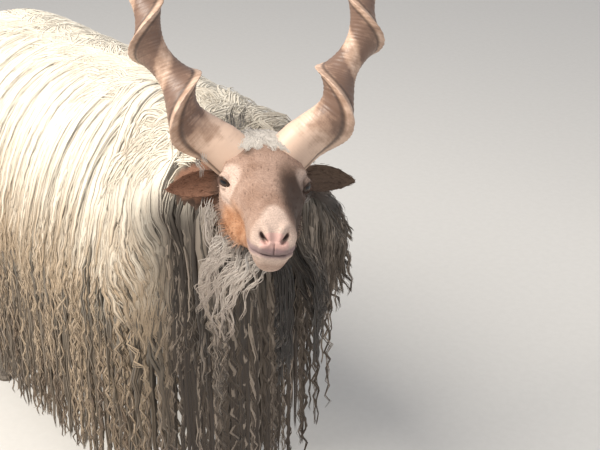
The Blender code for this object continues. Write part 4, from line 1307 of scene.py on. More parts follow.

# %% [markdown]
# ## The fleece itself
#
# Seen from near, racka wool is a curtain of crimped locks with fine hair over them. Fine strands
# alone would need many times the triangles to hide the skin, and broad locks alone would look like
# ribbons. So each rope becomes one broad lock and four fine strands over it. Ropes deep in the coat
# become under wool, darkened as painted shade, and loose ropes seven fine strands, so that no lock's
# edge shows there.

# %% Make the fleece
LOCK_FORM = Form(0.040, 0.0062, 0.0004, 0.0010, flare=2.2, stray=0.0)
WOOL_FORM = Form(0.040, 0.0062, 0.0034, 0.0125, flare=0.25)
LOOSE_FORM = Form(0.034, 0.0050, 0.0034, 0.0120, flare=0.5, stray=0.4)
UNDER_FORM = Form(0.047, 0.0030, 0.0050, 0.0110, stray=0.0)
LOCK, FINE, BROAD = (0.0034, 0.0028), (0.00125, 0.0014), (0.0034, 0.0030)
TRUNK_PART, NECK_PART = ((0.02, 0.02), (0.50, 0.96)), ((0.54, 0.02), (0.22, 0.96))
TAIL_PART, HEAD_PART = ((0.78, 0.02), (0.08, 0.40)), ((0.78, 0.50), (0.20, 0.46))
coat, head_wool = [], []


def make_coat(name, ropes, outs, flat, atlas, points, form, size, parts, each, depth_shade=0.0):
    """Strands of all ropes in a few meshes. The atlas is the corner and size, on the unwrap, of
    the part of the skin that the ropes grow from. Inner wool gets a tone below nought, which the
    wool's finish turns into painted shade."""
    tone = rng.random((len(ropes), 1)) * 0.7 + rng.random((len(ropes), each)) * 0.3 - depth_shade
    spots = np.array(atlas[0]) + flat * np.array(atlas[1])
    spots = np.repeat(spots, each, axis=0) + rng.uniform(-0.002, 0.002, (len(ropes) * each, 2))
    for part, chosen in enumerate(np.array_split(np.argsort(ropes[:, 1, 0], kind="stable"), parts)):
        picked = (chosen[:, None] * each + np.arange(each)).ravel()
        strands = strands_of(ropes[chosen], outs[chosen], each, points, form)
        made = strand_object(f"{name}_{part + 1}", strands, *size, tone.ravel()[picked], spots[picked])
        (head_wool if atlas == HEAD_PART else coat).append(made)
        print(made.name, faces(made), "faces")


for name, (*hung, deep, loose), part, pieces in (
    ("fleece", trunk_coat, TRUNK_PART, 6),
    ("mane", neck_coat, NECK_PART, 2),
):
    outer = keep(~deep & ~loose, *hung)
    make_coat(name + "_locks", *outer, part, 20, LOCK_FORM, LOCK, pieces // 2, 1)
    make_coat(name + "_loose", *keep(loose, *hung), part, 14, LOOSE_FORM, FINE, 1, 7)
    make_coat(name + "_strands", *outer, part, 21, WOOL_FORM, FINE, pieces, 4)
    # Under wool is drawn darker, as painted shade.
    make_coat(name + "_under", *keep(deep, *hung), part, 12, UNDER_FORM, BROAD, 1, 3, 1.2)
make_coat("tail_brush", tail_ropes, tail_outs, tail_flat, TAIL_PART, 20, WOOL_FORM, FINE, 1, 6)

# %% [markdown]
# ## The tuft between the horns
#
# Short curly wool covers the poll and falls a little way over the brow. It could be a cap of its
# own, but ropes that hang over the bare head's loft look the same as the rest of the coat. They
# are short, fine and curly, and feel less weight, because such short wool holds itself up.

# %% Make the poll's tuft
head_table = smooth_rows(HEAD, np.linspace(0, 1, 160))
head_table = np.insert(head_table, 1, 0, axis=1)


def on_skull_of(places):
    """How far out a place of the head's own frame is in the bare head."""
    return fullness(places, head_table, HEAD_POWER)


TUFT_ROPES = 76
first, second = even_shares(np.arange(TUFT_ROPES))
u, v = -0.090 + 0.058 * first**1.4, 0.060 * (second - 0.56)
top = np.interp(u, head_table[:, 0], head_table[:, 2])
roots = np.column_stack([u, v, top - 4.0 * v**2])
outs = unit(np.column_stack([-0.2 + 0 * u, v * 9, 1 + 0 * u]))
lays = np.column_stack([2.6 + 0 * u, v * 10, 0.2 + 0 * u]) + rng.normal(0, 0.25, (TUFT_ROPES, 3))
first_depth = 0.002 + 0.010 * rng.random(TUFT_ROPES)


def over_brow(place, roots):
    """The tuft's rule of depth: the first depth, and more with the way forward from the root."""
    return first_depth + 0.10 * np.maximum(place[:, 0] - roots[:, 0], 0)


lengths = 0.050 * rng.uniform(0.6, 1.15, TUFT_ROPES) * (1 - 0.6 * ramp(u, -0.07, -0.03))
tuft_ropes, tuft_outs = hang(roots, outs, lays, lengths, [(on_skull_of, over_brow)], DOWN * 0.7, 0.16)
tuft_ropes, tuft_outs = on_head(tuft_ropes), tuft_outs @ head_axes()
tuft_flat = np.column_stack([(u + 0.118) / 0.27, v / 0.2 + 0.5])
TUFT_FORM = Form(0.026, 0.0020, 0.0052, 0.0050, stray=0.3, clump=(-1, -0.9))
make_coat("poll_tuft", tuft_ropes, tuft_outs, tuft_flat, HEAD_PART, 14, TUFT_FORM, (0.0007, 0.0008), 1, 12)

# %% [markdown]
# ## Ruff, throat and cheeks
#
# Behind the ears and under the jaw the short coat of the face runs over into wool. A ruff of
# ropes grows from the back of the head, thin pale curls hang from the throat, and longer hair on
# the cheeks and jaw softens the outline there. Their roots are picked on the head's own surface,
# each place as likely as its share of the area.

# %% Grow the ruff and the throat's curls
def area_of(rings):
    """The area that each corner of a ring grid stands for: the size of the cross product of its
    steps to the next ring and to the next corner."""
    return np.linalg.norm(np.cross(np.gradient(rings, axis=0), np.gradient(rings, axis=1)), axis=-1)


head_outs, head_area = ways_out(grid), area_of(grid)


def pick_on_head(count, chosen):
    """Roots on the head, their ways out, their ways on towards the nose, and their places on an
    unwrap of it. The rule says how much each place of the face's frame is wanted."""
    weight = (head_area * chosen(*np.moveaxis(grid, -1, 0))).ravel()
    picked = rng.choice(weight.size, count, replace=False, p=weight / weight.sum())
    onward = unit(np.gradient(grid, axis=0)).reshape(-1, 3)
    rings, sides = grid.shape[:2]
    flat = np.column_stack([picked // sides / rings, picked % sides / sides])
    return grid.reshape(-1, 3)[picked], head_outs.reshape(-1, 3)[picked], onward[picked], flat


def on_head_skin(places):
    """How far out walking places are in the bare head."""
    return on_skull_of(to_head(places))


def by_depth(deep):
    """The rule of depth for ropes that each keep to one depth."""

    def depth(place, roots):
        return deep

    return depth


RUFF_FORM = Form(0.046, 0.0034, 0.0070, 0.0070, stray=0.2, clump=(-0.9, -0.6))
CURL_FORM = Form(0.060, 0.0074, 0.0030, 0.0036, stray=0.3, clump=(-0.9, -0.6))
OUT_OF_FLEECE = 0.130


def behind_jaw(u, v, w):
    """Where the ruff grows: the back of the head below the ears."""
    return ramp(-u, 0.066, 0.090) * ramp(-w, 0.008, 0.034) * (u > -0.114)


def below_jaw(u, v, w):
    """Where the curls grow: the underside of the jaw."""
    return ramp(-w, 0.056, 0.070) * ramp(-u, -0.110, -0.080) * ramp(u, -0.06, -0.02)


for name, count, rule, length, form, thin, each in (
    ("ruff", 84, behind_jaw, 0.140, RUFF_FORM, (0.0009, 0.0010), 5),
    ("throat_curls", 70, below_jaw, 0.150, CURL_FORM, (0.0010, 0.0010), 4),
):
    local, local_outs, onward, flat = pick_on_head(count, rule)
    roots, outs = on_head(local), local_outs @ head_axes()
    lays = -0.25 * onward @ head_axes()
    deep = 0.004 + 0.014 * rng.random(count)
    out_of_wool = np.where(local[:, 1] > 0, 0.028, 0.055)
    over = [
        (on_head_skin, by_depth(deep)),
        (on_neck, by_depth(deep + out_of_wool)),
        (on_trunk, by_depth(deep + OUT_OF_FLEECE)),
    ]
    lengths = length * rng.uniform(0.6, 1.2, count) * (1 - 0.72 * ramp(local[:, 2], -0.030, -0.010))
    ropes, rope_outs = hang(roots, outs, lays, lengths, over)
    free = off_the_ears(ropes)
    make_coat(name, *keep(free, ropes, rope_outs, flat), HEAD_PART, 22, form, thin, 1, each)

# %% [markdown]
# ## Short hair
#
# The hair of face and ears is a few millimetres long and lies flat, so it needs no hanging. Fur
# particles could make it, but a mesh file doesn't hold them. Each hair is an arc in closed form
# that follows the skin. It matters most at the outline, which would otherwise look like plastic.

# %% Grow short hair on face and ears
short_hair = []


def sprout(roots, outs, lays, lengths, lift, droop, points):
    """Short hairs in closed form. Each goes the way of its lay, lifts off along the way out and
    bends back, and droops with the square of the way along it."""
    s, turned = np.linspace(0, 1, points), head_axes()
    t, size = s[None, :, None], lengths[:, None, None]
    lines = roots[:, None] - outs[:, None] * SKIN_DEPTH + lays[:, None] * size * t
    lines = lines + outs[:, None] * size * lift * (t - 0.6 * t * t)
    lines = lines + DOWN @ turned.T * size * droop * t * t
    ahead = unit(np.gradient(lines, axis=1))
    across = unit(np.cross(ahead, outs[:, None] + 0 * lines))
    out = np.cross(across, ahead)
    facing = (outs @ turned)[:, None] + 0 * lines
    return on_head(lines), across @ turned, out @ turned, s, facing, np.ones(lines.shape[:2])


def short_coat_hair(name, picked, way, lean, spread_out, length, longest, shorter, bend, size):
    """A piece of short hair that keeps the places of its roots for the markings. Each hair goes
    on towards nose or tip, or back if way is -1, leans out a little and strays by chance. Its
    length is a chance share of the given one, and shrinks towards the nose."""
    roots, outs, onward, flat = picked
    lays = unit(way * onward + lean * outs + rng.normal(0, spread_out, outs.shape))
    lengths = length * rng.uniform(0.6, longest, len(roots))
    lengths = lengths * (1 - shorter * (1 - ramp(-roots[:, 0], -0.08, 0.0)))
    strands = sprout(roots, outs, lays, lengths, *bend)
    tone = rng.random(len(roots))
    made = strand_object(name, strands, *size, tone, HEAD_PART[0] + flat * HEAD_PART[1])
    each = len(made.data.vertices) // len(roots)
    short_hair.append((made, np.repeat(on_head(roots), each, axis=0)))
    print(name, faces(made), "faces")


def ear_hairs(count):
    """Roots all over both ears with their ways out, ways to the tip and unwrap places."""
    rows = []
    for side, _ in SIDES:
        rings = to_head(ear_rings(side, 40, 16))
        out, onward = ways_out(rings), unit(np.gradient(rings, axis=0))
        weight = (area_of(rings) * ramp(np.arange(40)[:, None], 3, 8)).ravel()
        picked = rng.choice(weight.size, count // 2, p=weight / weight.sum())
        places = rings.reshape(-1, 3)[picked] + rng.normal(0, 0.0008, (count // 2, 3))
        flat = np.column_stack([picked // 32 / 40, picked % 32 / 32])
        rows.append((places, out.reshape(-1, 3)[picked], onward.reshape(-1, 3)[picked], flat))
    return [np.concatenate(column) for column in zip(*rows)]


def on_cheek(u, v, w):
    """Where the longer hair grows: along the jaw and at the back of the cheek."""
    jaw = ramp(-w, 0.040, 0.062) * ramp(-u, -0.085, -0.045) * ramp(u, -0.11, -0.08)
    return jaw + 1.2 * ramp(-u, 0.056, 0.074) * ramp(w, -0.045, -0.020) * ramp(-w, -0.040, -0.020)


def all_over(u, v, w):
    """Where the nap grows: the face without its tip and its back."""
    return ramp(-u, -0.120, -0.100) * ramp(u, -0.112, -0.100)


EAR_HAIRS, CHEEK_HAIRS, NAP_HAIRS = 1200, 1500, 3400
EAR_BEND, CHEEK_BEND, NAP_BEND = (0.12, 0.04, 5), (0.18, 0.50, 7), (0.16, 0.05, 4)
picked = ear_hairs(EAR_HAIRS)
short_coat_hair("ear_hair", picked, 1, 0.12, 0.12, 0.007, 1.4, 0, EAR_BEND, (0.00045, 0.0005))
picked = pick_on_head(CHEEK_HAIRS, on_cheek)
short_coat_hair("cheek_hair", picked, -1, 0.22, 0.12, 0.021, 1.3, 0.5, CHEEK_BEND, (0.00055, 0.0007))
picked = pick_on_head(NAP_HAIRS, all_over)
short_coat_hair("face_nap", picked, -1, 0.10, 0.10, 0.0095, 1.3, 0, NAP_BEND, (0.00038, 0.0004))

# %% [markdown]
# ## Finishes
#
# Each finish is a material whose varying colours, roughness and fine bumps come from small node
# groups. A group is built once, takes named inputs, and gives masks or colours. A tiny helper
# writes the nodes, so that each group reads as a list of what it mixes.

# %% Helpers for node groups
class Nodes:
    """Adds nodes to a tree and puts what they are given on their inputs."""

    def __init__(self, tree):
        self.tree = tree

    def put(self, value, socket):
        """Links an output to a socket, or sets a plain value on it. A colour is given as three."""
        if isinstance(value, NodeSocket):
            self.tree.links.new(value, socket)
        else:
            socket.default_value = (*value, 1.0) if socket.type == "RGBA" else value

    def add(self, kind, inputs=None, **settings):
        """A new node with its settings, and values or links on its inputs."""
        node = self.tree.nodes.new(kind)
        for key, value in settings.items():
            setattr(node, key, value)
        for key, value in (inputs or {}).items():
            self.put(value, node.inputs[key])
        return node

    def group(self, tree, **inputs):
        """Uses a group with named inputs, and gives its outputs."""
        return self.give(self.add("ShaderNodeGroup", node_tree=tree), **inputs)

    def give(self, node, **values):
        """Puts values on inputs named with a low line for each space, and gives the outputs."""
        for key, value in values.items():
            self.put(value, node.inputs[key.replace("_", " ")])
        return node.outputs

    def maths(self, operation, a, b=0.0):
        """One step of arithmetic on two values."""
        return self.add("ShaderNodeMath", {0: a, 1: b}, operation=operation).outputs[0]

    def plus(self, first, *others):
        """The sum of all values."""
        for other in others:
            first = self.maths("ADD", first, other)
        return first

    def times(self, first, *others):
        """The product of all values."""
        for other in others:
            first = self.maths("MULTIPLY", first, other)
        return first

    def vector(self, operation, a, b=(0.0, 0.0, 0.0)):
        """One step of arithmetic on two vectors."""
        return self.add("ShaderNodeVectorMath", {0: a, 1: b}, operation=operation).outputs[0]

    def scaled(self, colour, share):
        """A colour times a share."""
        inputs = {0: colour, "Scale": share}
        return self.add("ShaderNodeVectorMath", inputs, operation="SCALE").outputs[0]

    def place(self):
        """Where a point lies in the scene, since every piece's object sits at the origin."""
        return self.add("ShaderNodeTexCoord").outputs["Object"]

    def split(self, vector):
        return self.add("ShaderNodeSeparateXYZ", {0: vector}).outputs

    def joined(self, **parts):
        return self.add("ShaderNodeCombineXYZ", parts).outputs[0]

    def noise(self, place, scale, detail=4.0, rough=0.6):
        """Noise from 0 to 1 at a place, finer with a larger scale."""
        settings = {"Vector": place, "Scale": scale, "Detail": detail, "Roughness": rough}
        return self.add("ShaderNodeTexNoise", settings).outputs["Fac"]

    def fit(self, value, low, high, to_low=0.0, to_high=1.0):
        """A value's span from low to high, eased on to another span and held at its ends."""
        inputs = {"Value": value, 1: low, 2: high, 3: to_low, 4: to_high}
        return self.add("ShaderNodeMapRange", inputs, interpolation_type="SMOOTHSTEP").outputs[0]

    def mix(self, share, a, b):
        """A blend of two colours, from a at 0 to b at 1."""
        return self.add("ShaderNodeMix", {"Factor": share, 6: a, 7: b}, data_type="RGBA").outputs[2]

    def value_of(self, name, output="Fac"):
        """What the corners of a piece store under a name."""
        return self.add("ShaderNodeAttribute", attribute_name=name).outputs[output]

    def bump(self, height, distance, strength):
        """The shading normal of a surface that is raised by a height times the distance."""
        inputs = {"Height": height, "Distance": distance, "Strength": strength}
        return self.add("ShaderNodeBump", inputs).outputs[0]


def new_group(name, inputs, outputs):
    """An empty node group with named sockets, and its helper, way in and way out."""
    tree = bpy.data.node_groups.new(name, "ShaderNodeTree")
    for way, sockets in (("INPUT", inputs), ("OUTPUT", outputs)):
        for label, kind in sockets.items():
            tree.interface.new_socket(label, in_out=way, socket_type="NodeSocket" + kind)
    nodes = Nodes(tree)
    return tree, nodes, nodes.add("NodeGroupInput").outputs, nodes.add("NodeGroupOutput").inputs


def new_material(name, **constants):
    """A Principled material with its plain values set on the shader's own sockets."""
    made = bpy.data.materials.new(name)
    made.use_nodes = True
    shader = made.node_tree.nodes["Principled BSDF"]
    nodes = Nodes(made.node_tree)
    nodes.give(shader, **constants)
    return made, nodes, shader


print("helpers for node groups ready")

# %% [markdown]
# Fine hair is drawn by noise that is stretched along the way the hair lies. The same group gives
# the short coat its nap, the horns their grain and the wool its fibres: it only needs the place,
# how long the streaks are, and how fine.

# %% Streaks group
STREAKS, nodes, given, result = new_group(
    "streaks",
    {"Place": "Vector", "Stretch": "Vector", "Fineness": "Float"},
    {"Streaks": "Float", "Patches": "Float"},
)
stretched = nodes.vector("MULTIPLY", given["Place"], given["Stretch"])
bend = {"Vector": given["Place"], "Scale": 40.0, "Detail": 2.0}
bend = nodes.add("ShaderNodeTexNoise", bend).outputs["Color"]
wavy = nodes.vector("ADD", stretched, nodes.vector("MULTIPLY", bend, (0.006, 0.006, 0.006)))
nodes.put(nodes.noise(wavy, given["Fineness"], 5.0, 0.65), result["Streaks"])
nodes.put(nodes.noise(given["Place"], 22.0, 5.0, 0.6), result["Patches"])
print("group:", STREAKS.name)

# %% [markdown]
# ## Wool
#
# The fleece is cream where it is clean and sheltered, and turns beige to grey-brown lower down and
# towards the tips, where it drags through grass and dust. The lanolin in it gives a dull sheen.
# The group ages the wool by its height, its place along the strand, broad patches and the strand's
# own tone. As painted shade in the gaps between locks, it darkens lock edges low down and inner wool.
# Its shading leans towards the rope's way out, so that a lock is lit as one soft mass.

# %% Age the wool and paint shade into its gaps
LOCKS, nodes, given, result = new_group(
    "locks",
    {"Clean": "Color", "Worn": "Color", "Dusty": "Color"},
    {"Colour": "Color", "Normal": "Vector"},
)
place = nodes.place()
lie = nodes.value_of("lie", "Vector")
streaks = nodes.group(STREAKS, Place=lie, Stretch=(1.0, 0.07, 1.0), Fineness=1100.0)
height = nodes.split(place)["Z"]
along_it, tone, edge = (nodes.value_of(name) for name in ("along", "tone", "edge"))
low_down = nodes.fit(height, 0.76, 0.18)
loose = nodes.fit(height, 0.70, 0.40)
patches = nodes.maths("SUBTRACT", nodes.noise(place, 9.0, 4.0), 0.5)
varied = nodes.maths("SUBTRACT", nodes.maths("MAXIMUM", tone, 0.0), 0.5)
aged = nodes.plus(
    nodes.times(low_down, 0.80),
    nodes.times(along_it, 0.30),
    nodes.times(patches, 0.6),
    nodes.times(varied, nodes.fit(loose, 0, 1, 0.12, 0.50)),
)
worn = nodes.mix(nodes.fit(aged, 0.16, 0.70), given["Clean"], given["Worn"])
dusty = nodes.mix(nodes.fit(aged, 0.78, 1.25), worn, given["Dusty"])
fibre = nodes.fit(streaks["Streaks"], 0.3, 0.7, 0.84, 1.06)
# Painted shade: the edges of locks are darkened low down, where the gaps between them lie.
hollow = nodes.times(nodes.maths("POWER", edge, 1.6), nodes.fit(loose, 0, 1, 0.0, 0.66))
# Painted shade: inner wool, whose tone is below nought, is drawn darker.
depth_shade = nodes.fit(tone, -0.2, 0.0, 0.34, 1.0)
lit = nodes.times(fibre, depth_shade, nodes.maths("SUBTRACT", 1.0, hollow))
nodes.put(nodes.scaled(dusty, lit), result["Colour"])
bump = nodes.bump(streaks["Streaks"], 0.0005, 0.5)
soft = {"Factor": nodes.fit(loose, 0, 1, 0.72, 0.40), 4: bump, 5: nodes.value_of("facing", "Vector")}
soft = nodes.add("ShaderNodeMix", soft, data_type="VECTOR").outputs[1]
nodes.put(nodes.vector("NORMALIZE", soft), result["Normal"])
print("group:", LOCKS.name)

# %% [markdown]
# The chest's wool is almost black-brown between paler strands: painted shade under the head.
# Round the head the wool is frosted grey, brown at its roots, and darker on the far side below the
# ears as painted shade.

# %% Wool and frosty wool
WOOL_CREAM, WOOL_BEIGE = (0.86, 0.78, 0.65), (0.57, 0.43, 0.29)
WOOL_DUST = (0.150, 0.098, 0.060)
# The chest's two colours are painted shade: dark wool, and the paler strands in that shade.
CHEST_SHADE_DARK, CHEST_SHADE_PALE = (0.036, 0.024, 0.017), (0.38, 0.31, 0.25)
# The root brown also serves as painted shade on the far side below the ears.
FROST, FROST_WORN, ROOT_BROWN_AND_SHADE = (0.72, 0.66, 0.60), (0.46, 0.39, 0.33), (0.15, 0.092, 0.062)


def wool_finish(name, clean, worn, dusty):
    """A wool of three colours: clean, worn, and dusty at the tips."""
    made, nodes, shader = new_material(name, Roughness=0.8, Sheen_Weight=0.2, Sheen_Roughness=0.5)
    return made, nodes, shader, nodes.group(LOCKS, Clean=clean, Worn=worn, Dusty=dusty)


wool, nodes, shader, locks = wool_finish("wool", WOOL_CREAM, WOOL_BEIGE, WOOL_DUST)
parts = nodes.split(nodes.place())
# Painted shade: the chest's wool under the head is drawn dark, with paler strands by their tone.
chest_shade = nodes.times(
    nodes.fit(parts["X"], 0.25, 0.35),
    nodes.fit(parts["Z"], 0.68, 0.60),
    nodes.fit(parts["Y"], -0.21, -0.145),
)
shaded_chest = nodes.mix(nodes.fit(nodes.value_of("tone"), 0.45, 0.95), CHEST_SHADE_DARK, CHEST_SHADE_PALE)
colour = nodes.mix(nodes.times(chest_shade, 0.90), locks["Colour"], shaded_chest)
nodes.give(shader, Base_Color=colour, Normal=locks["Normal"])

frosty, nodes, shader, locks = wool_finish("frosty_wool", FROST, FROST_WORN, WOOL_DUST)
parts = nodes.split(nodes.place())
below = nodes.fit(parts["Z"], 0.735, 0.700)
# Painted shade: the wool on the far side below the ears is made brown.
far_side_shade = nodes.fit(parts["Y"], -0.01, 0.04)
at_root = nodes.times(nodes.fit(nodes.value_of("along"), 0.36, 0.04), below)
shaded = nodes.times(nodes.fit(nodes.value_of("tone"), 0.75, 0.30, 0.0, 0.60), below)
brown = nodes.times(nodes.maths("MAXIMUM", at_root, shaded), 0.75)
brown = nodes.maths("MAXIMUM", brown, nodes.times(far_side_shade, below, 0.85))
brown = nodes.maths("MAXIMUM", brown, nodes.times(below, 0.22))
colour = nodes.mix(brown, locks["Colour"], ROOT_BROWN_AND_SHADE)
nodes.give(shader, Base_Color=colour, Normal=locks["Normal"])
print("wool done")

# %% [markdown]
# ## The face's markings
#
# The ram's face is tan, with pale rings round the eyes and a pale muzzle, a rust patch on its right
# cheek and a dark left side. Part of this is painted light and shade: the right cheek is made paler
# and the nose has a painted highlight, while painted shade deepens the brown of the left side and
# below the ears, and darkens the nostrils and the mouth's line. The markings could be painted on an
# image. Here they are masks worked out at the skin's own corners, in the face's frame, so that skin
# and hair share them. The short coat's material turns them into colours and breaks up their edges.

# %% Mark the face
def face_marks(places):
    """Masks from 0 to 1 at places of the walking frame: naked nose and lips, pale rings round the
    eyes and muzzle, the rust patch of the right cheek and the dark left side. The pale mask also
    holds painted light on the right cheek and a painted highlight on the nose, and the dark one
    painted shade on the left side and below the ears."""
    u, v, w = np.moveaxis(to_head(places), -1, 0)
    on_face = ramp(u, -0.13, -0.10)
    side = np.abs(v)
    up_front = ramp(w, 0.0, 0.03)

    nose = -(((u - 0.152) / 0.015) ** 2) - ((side / 0.026) ** 2) - (((w + 0.014) / 0.019) ** 2)
    mouth = MOUTH_DROP - 0.0047 * np.sin(np.arctan2(side, u - MOUTH_CORNER)) ** 2
    lips = hump(w - mouth - 0.0035, 0.0085) * ramp(u, MOUTH_CORNER + 0.004, 0.132)
    # Painted shade: the insides of the nostrils and the mouth's line are darkened.
    inside = nostril(side, w, 0.0032) * ramp(u, 0.118, 0.130)
    slit = hump(w - mouth, 0.0011) * ramp(u, MOUTH_CORNER, 0.105) * ramp(-side, -0.028, -0.014)

    ring = ramp(-np.abs(np.hypot(u - 0.006, w - EYE_LEVEL) - 0.018), -0.016, -0.002)
    # The ring is weakened on the left side below the brow: painted shade.
    ring = ring * ramp(side, 0.026, 0.044) * (1 - 0.6 * ramp(v, 0.0, 0.01) * ramp(0.03 - w, 0.0, 0.03))
    # Painted light: the right cheek, on the lit side, is made paler.
    lit_right_cheek = hump(u - 0.020, 0.036) * hump(w + 0.016, 0.020) * ramp(-v, 0.012, 0.036)
    muzzle = 0.75 * ramp(u - 0.3 * side, 0.100, 0.140)
    # A painted highlight: a pale patch on top of the nose.
    muzzle = muzzle + hump(u - 0.120, 0.018) * hump(v, 0.016) * ramp(w, -0.01, 0.01)
    brow = 0.25 * hump(u + 0.016, 0.030) * hump(v, 0.030) * up_front
    jaw = ramp(-w, 0.058, 0.074) * ramp(u, -0.09, -0.02)
    crown = ramp(-u, 0.012, 0.055) * up_front
    pale_and_lit = 0.80 * ring + muzzle + 0.6 * lit_right_cheek + 0.6 * jaw + 0.5 * crown + brow
    chin = ramp(-w, 0.042, 0.056) * ramp(u, 0.06, 0.10)

    rust = hump(u - 0.056, 0.046) * hump(w + 0.044, 0.034) * ramp(-v, -0.002, 0.020)
    # The left side: dark brown hair, with painted shade over it.
    dark = hump(u - 0.052, 0.064) * hump(w + 0.010, 0.050) * ramp(v, -0.008, 0.026) * 1.7
    # Below the ears on both sides: darker hair, and painted shade.
    dark += 1.6 * hump(u + 0.085, 0.042) * hump(w + 0.040, 0.050) * ramp(side, 0.026, 0.044)
    smudge = hump(u + 0.020, 0.014) * hump(v + 0.028, 0.012) * ramp(w, 0.0, 0.02)

    lid = hump(np.hypot(u / 1.15, (w - EYE_LEVEL) / 0.9), 0.0125) * ramp(side, 0.034, 0.048)
    temple = ramp(-u, 0.076, 0.094) * ramp(w, -0.016, -0.002) * ramp(side, 0.02, 0.04)
    far = ramp(np.linalg.norm(places - EYE_MID, axis=1), 0.16, 0.19)
    woolly = np.clip(ramp(-u, 0.100, 0.118) + temple + far, 0, 1)
    return {
        "cleft": np.clip(inside + 0.6 * slit, 0, 1),
        "lips": lips * ramp(-w, 0.012, 0.022),
        "woolly": woolly * ramp(places[:, 2], 0.34, 0.40),
        "naked": np.clip(1.3 * ramp(np.exp(nose), 0.30, 0.8), 0, 1),
        "pale_and_lit": np.clip(pale_and_lit, 0, 1) * (1 - 0.45 * chin),
        "rust": np.clip(rust * 1.3, 0, 1),
        "dark": np.clip(dark + 0.7 * smudge, 0, 1),
        "lid": lid * on_face,
    }


print("markings:", len(face_marks(EYE_MID[None])))

# %% [markdown]
# The ears are dark too, the left one greyer, with a pale upper rim that is partly painted highlight.
# Skin and short hair then store every mask: a hair keeps the mask of the place it grows from, so that
# it takes the skin's colour.

# %% Mark the ears and store the masks
def ear_marks(places):
    """How surely a place is on an ear, whether that is the left one, and how near it is to the
    ear's upper rim, as a share of the ear's half width there. That rim is drawn pale, partly as
    painted highlight."""
    local = to_head(places, 0)
    best, left, edge = (np.zeros(len(places)) for _ in range(3))
    for side, _ in SIDES:
        root, way, _, rise = ear_frame(side)
        away = local - root
        along = away @ way
        near = np.linalg.norm(away - along[:, None] * way, axis=1) < 0.036
        share = np.where(near & (along > 0.020), ramp(along, 0.020, 0.045), 0)
        best = np.maximum(best, share)
        left = np.where(share > 0, side > 0, left)
        half = ear_half(np.clip(along / EAR_LENGTH, 0, 1))
        # The upper rim: pale hair, and painted highlight where the light catches it.
        edge = np.where(share > 0, ramp((away @ rise) / half, 0.70, 1.0), edge)
    return {"ear": best, "left": left, "ear_rim_and_highlight": np.clip(edge, 0, 1)}


for piece, places in [(skin, places_of(skin)), *short_hair]:
    for name, values in {**face_marks(places), **ear_marks(places)}.items():
        add_values(piece, name, values)
print("marked", len(skin.data.vertices), "corners of the skin")

# %% [markdown]
# ## Short coat
#
# The face has a close, smooth coat of tan hair, so it shines a little, with bare pink skin at the
# nose and lips. Each hair is far too fine to model, so the nap is a bump of streaks. Each marking
# is one layer of colour over those before it.

# %% Colour the short coat
TAN, TAN_DEEP, CREAM_PINK = (0.405, 0.268, 0.205), (0.25, 0.145, 0.098), (0.65, 0.490, 0.405)
# The last colour of the next line is for the dark left side: dark brown hair and painted shade.
RUST, RUST_DEEP, DARK_BROWN_AND_SHADE = (0.50, 0.265, 0.150), (0.34, 0.150, 0.070), (0.045, 0.022, 0.013)
BARE_PINK, MAUVE_LIP, CLEFT_SHADE = (0.58, 0.36, 0.31), (0.21, 0.140, 0.143), (0.085, 0.050, 0.042)
EAR_DARK, EAR_GREY, EAR_RIM_AND_HIGHLIGHT = (0.245, 0.122, 0.076), (0.130, 0.085, 0.060), (0.56, 0.45, 0.37)
LEG_BROWN, LEG_DARK, LID_DARK = (0.215, 0.135, 0.085), (0.115, 0.070, 0.045), (0.10, 0.055, 0.040)
CREAM_DOWN, BROWN_DOWN = (0.78, 0.69, 0.55), (0.13, 0.085, 0.052)
short_coat, nodes, shader = new_material("short_coat", Sheen_Weight=0.04, Specular_IOR_Level=0.3)
place = nodes.place()
nap = nodes.group(STREAKS, Place=place, Stretch=(0.30, 0.45, 1.0), Fineness=900.0)
coarse = nodes.noise(place, 60.0, 4.0)
height = nodes.split(place)["Z"]


def broken(name, low=0.25, high=0.75, torn=0.35):
    """A mask with its edge torn by noise."""
    shift = nodes.times(nodes.maths("SUBTRACT", coarse, 0.5), torn)
    return nodes.fit(nodes.plus(nodes.value_of(name), shift), low, high)


face = nodes.mix(nodes.times(nodes.fit(nap["Patches"], 0.38, 0.72), 0.8), TAN, TAN_DEEP)
rusty = nodes.mix(nodes.fit(coarse, 0.35, 0.68), RUST, RUST_DEEP)
face = nodes.mix(broken("rust", 0.2, 0.8), face, rusty)
# The left side and the skin below the ears: dark brown hair and painted shade.
face = nodes.mix(nodes.times(broken("dark", 0.10, 0.95), 0.92), face, DARK_BROWN_AND_SHADE)
# Pale hair, with painted light on the right cheek and a painted highlight on the nose.
face = nodes.mix(nodes.times(broken("pale_and_lit", 0.2, 0.85), 0.85), face, CREAM_PINK)
ear_colour = nodes.mix(nodes.value_of("left"), EAR_DARK, EAR_GREY)
# The ear's upper rim: pale hair and painted highlight.
ear_colour = nodes.mix(nodes.times(broken("ear_rim_and_highlight", 0.55, 1.0, 0.3), 0.7), ear_colour, EAR_RIM_AND_HIGHLIGHT)
face = nodes.mix(nodes.value_of("ear"), face, ear_colour)
leg = nodes.mix(nodes.fit(nap["Patches"], 0.35, 0.70), LEG_BROWN, LEG_DARK)
face = nodes.mix(nodes.fit(height, 0.46, 0.40), face, leg)
down = nodes.mix(nodes.fit(height, 0.56, 0.72), BROWN_DOWN, CREAM_DOWN)
face = nodes.mix(nodes.value_of("woolly"), face, down)
colour = nodes.scaled(face, nodes.fit(nap["Streaks"], 0.3, 0.72, 0.72, 1.12))
colour = nodes.mix(broken("naked", 0.3, 0.7, 0.25), colour, BARE_PINK)
colour = nodes.mix(nodes.times(broken("lips", 0.20, 0.8, 0.3), 0.85), colour, MAUVE_LIP)
colour = nodes.mix(broken("lid", 0.55, 0.85, 0.1), colour, LID_DARK)
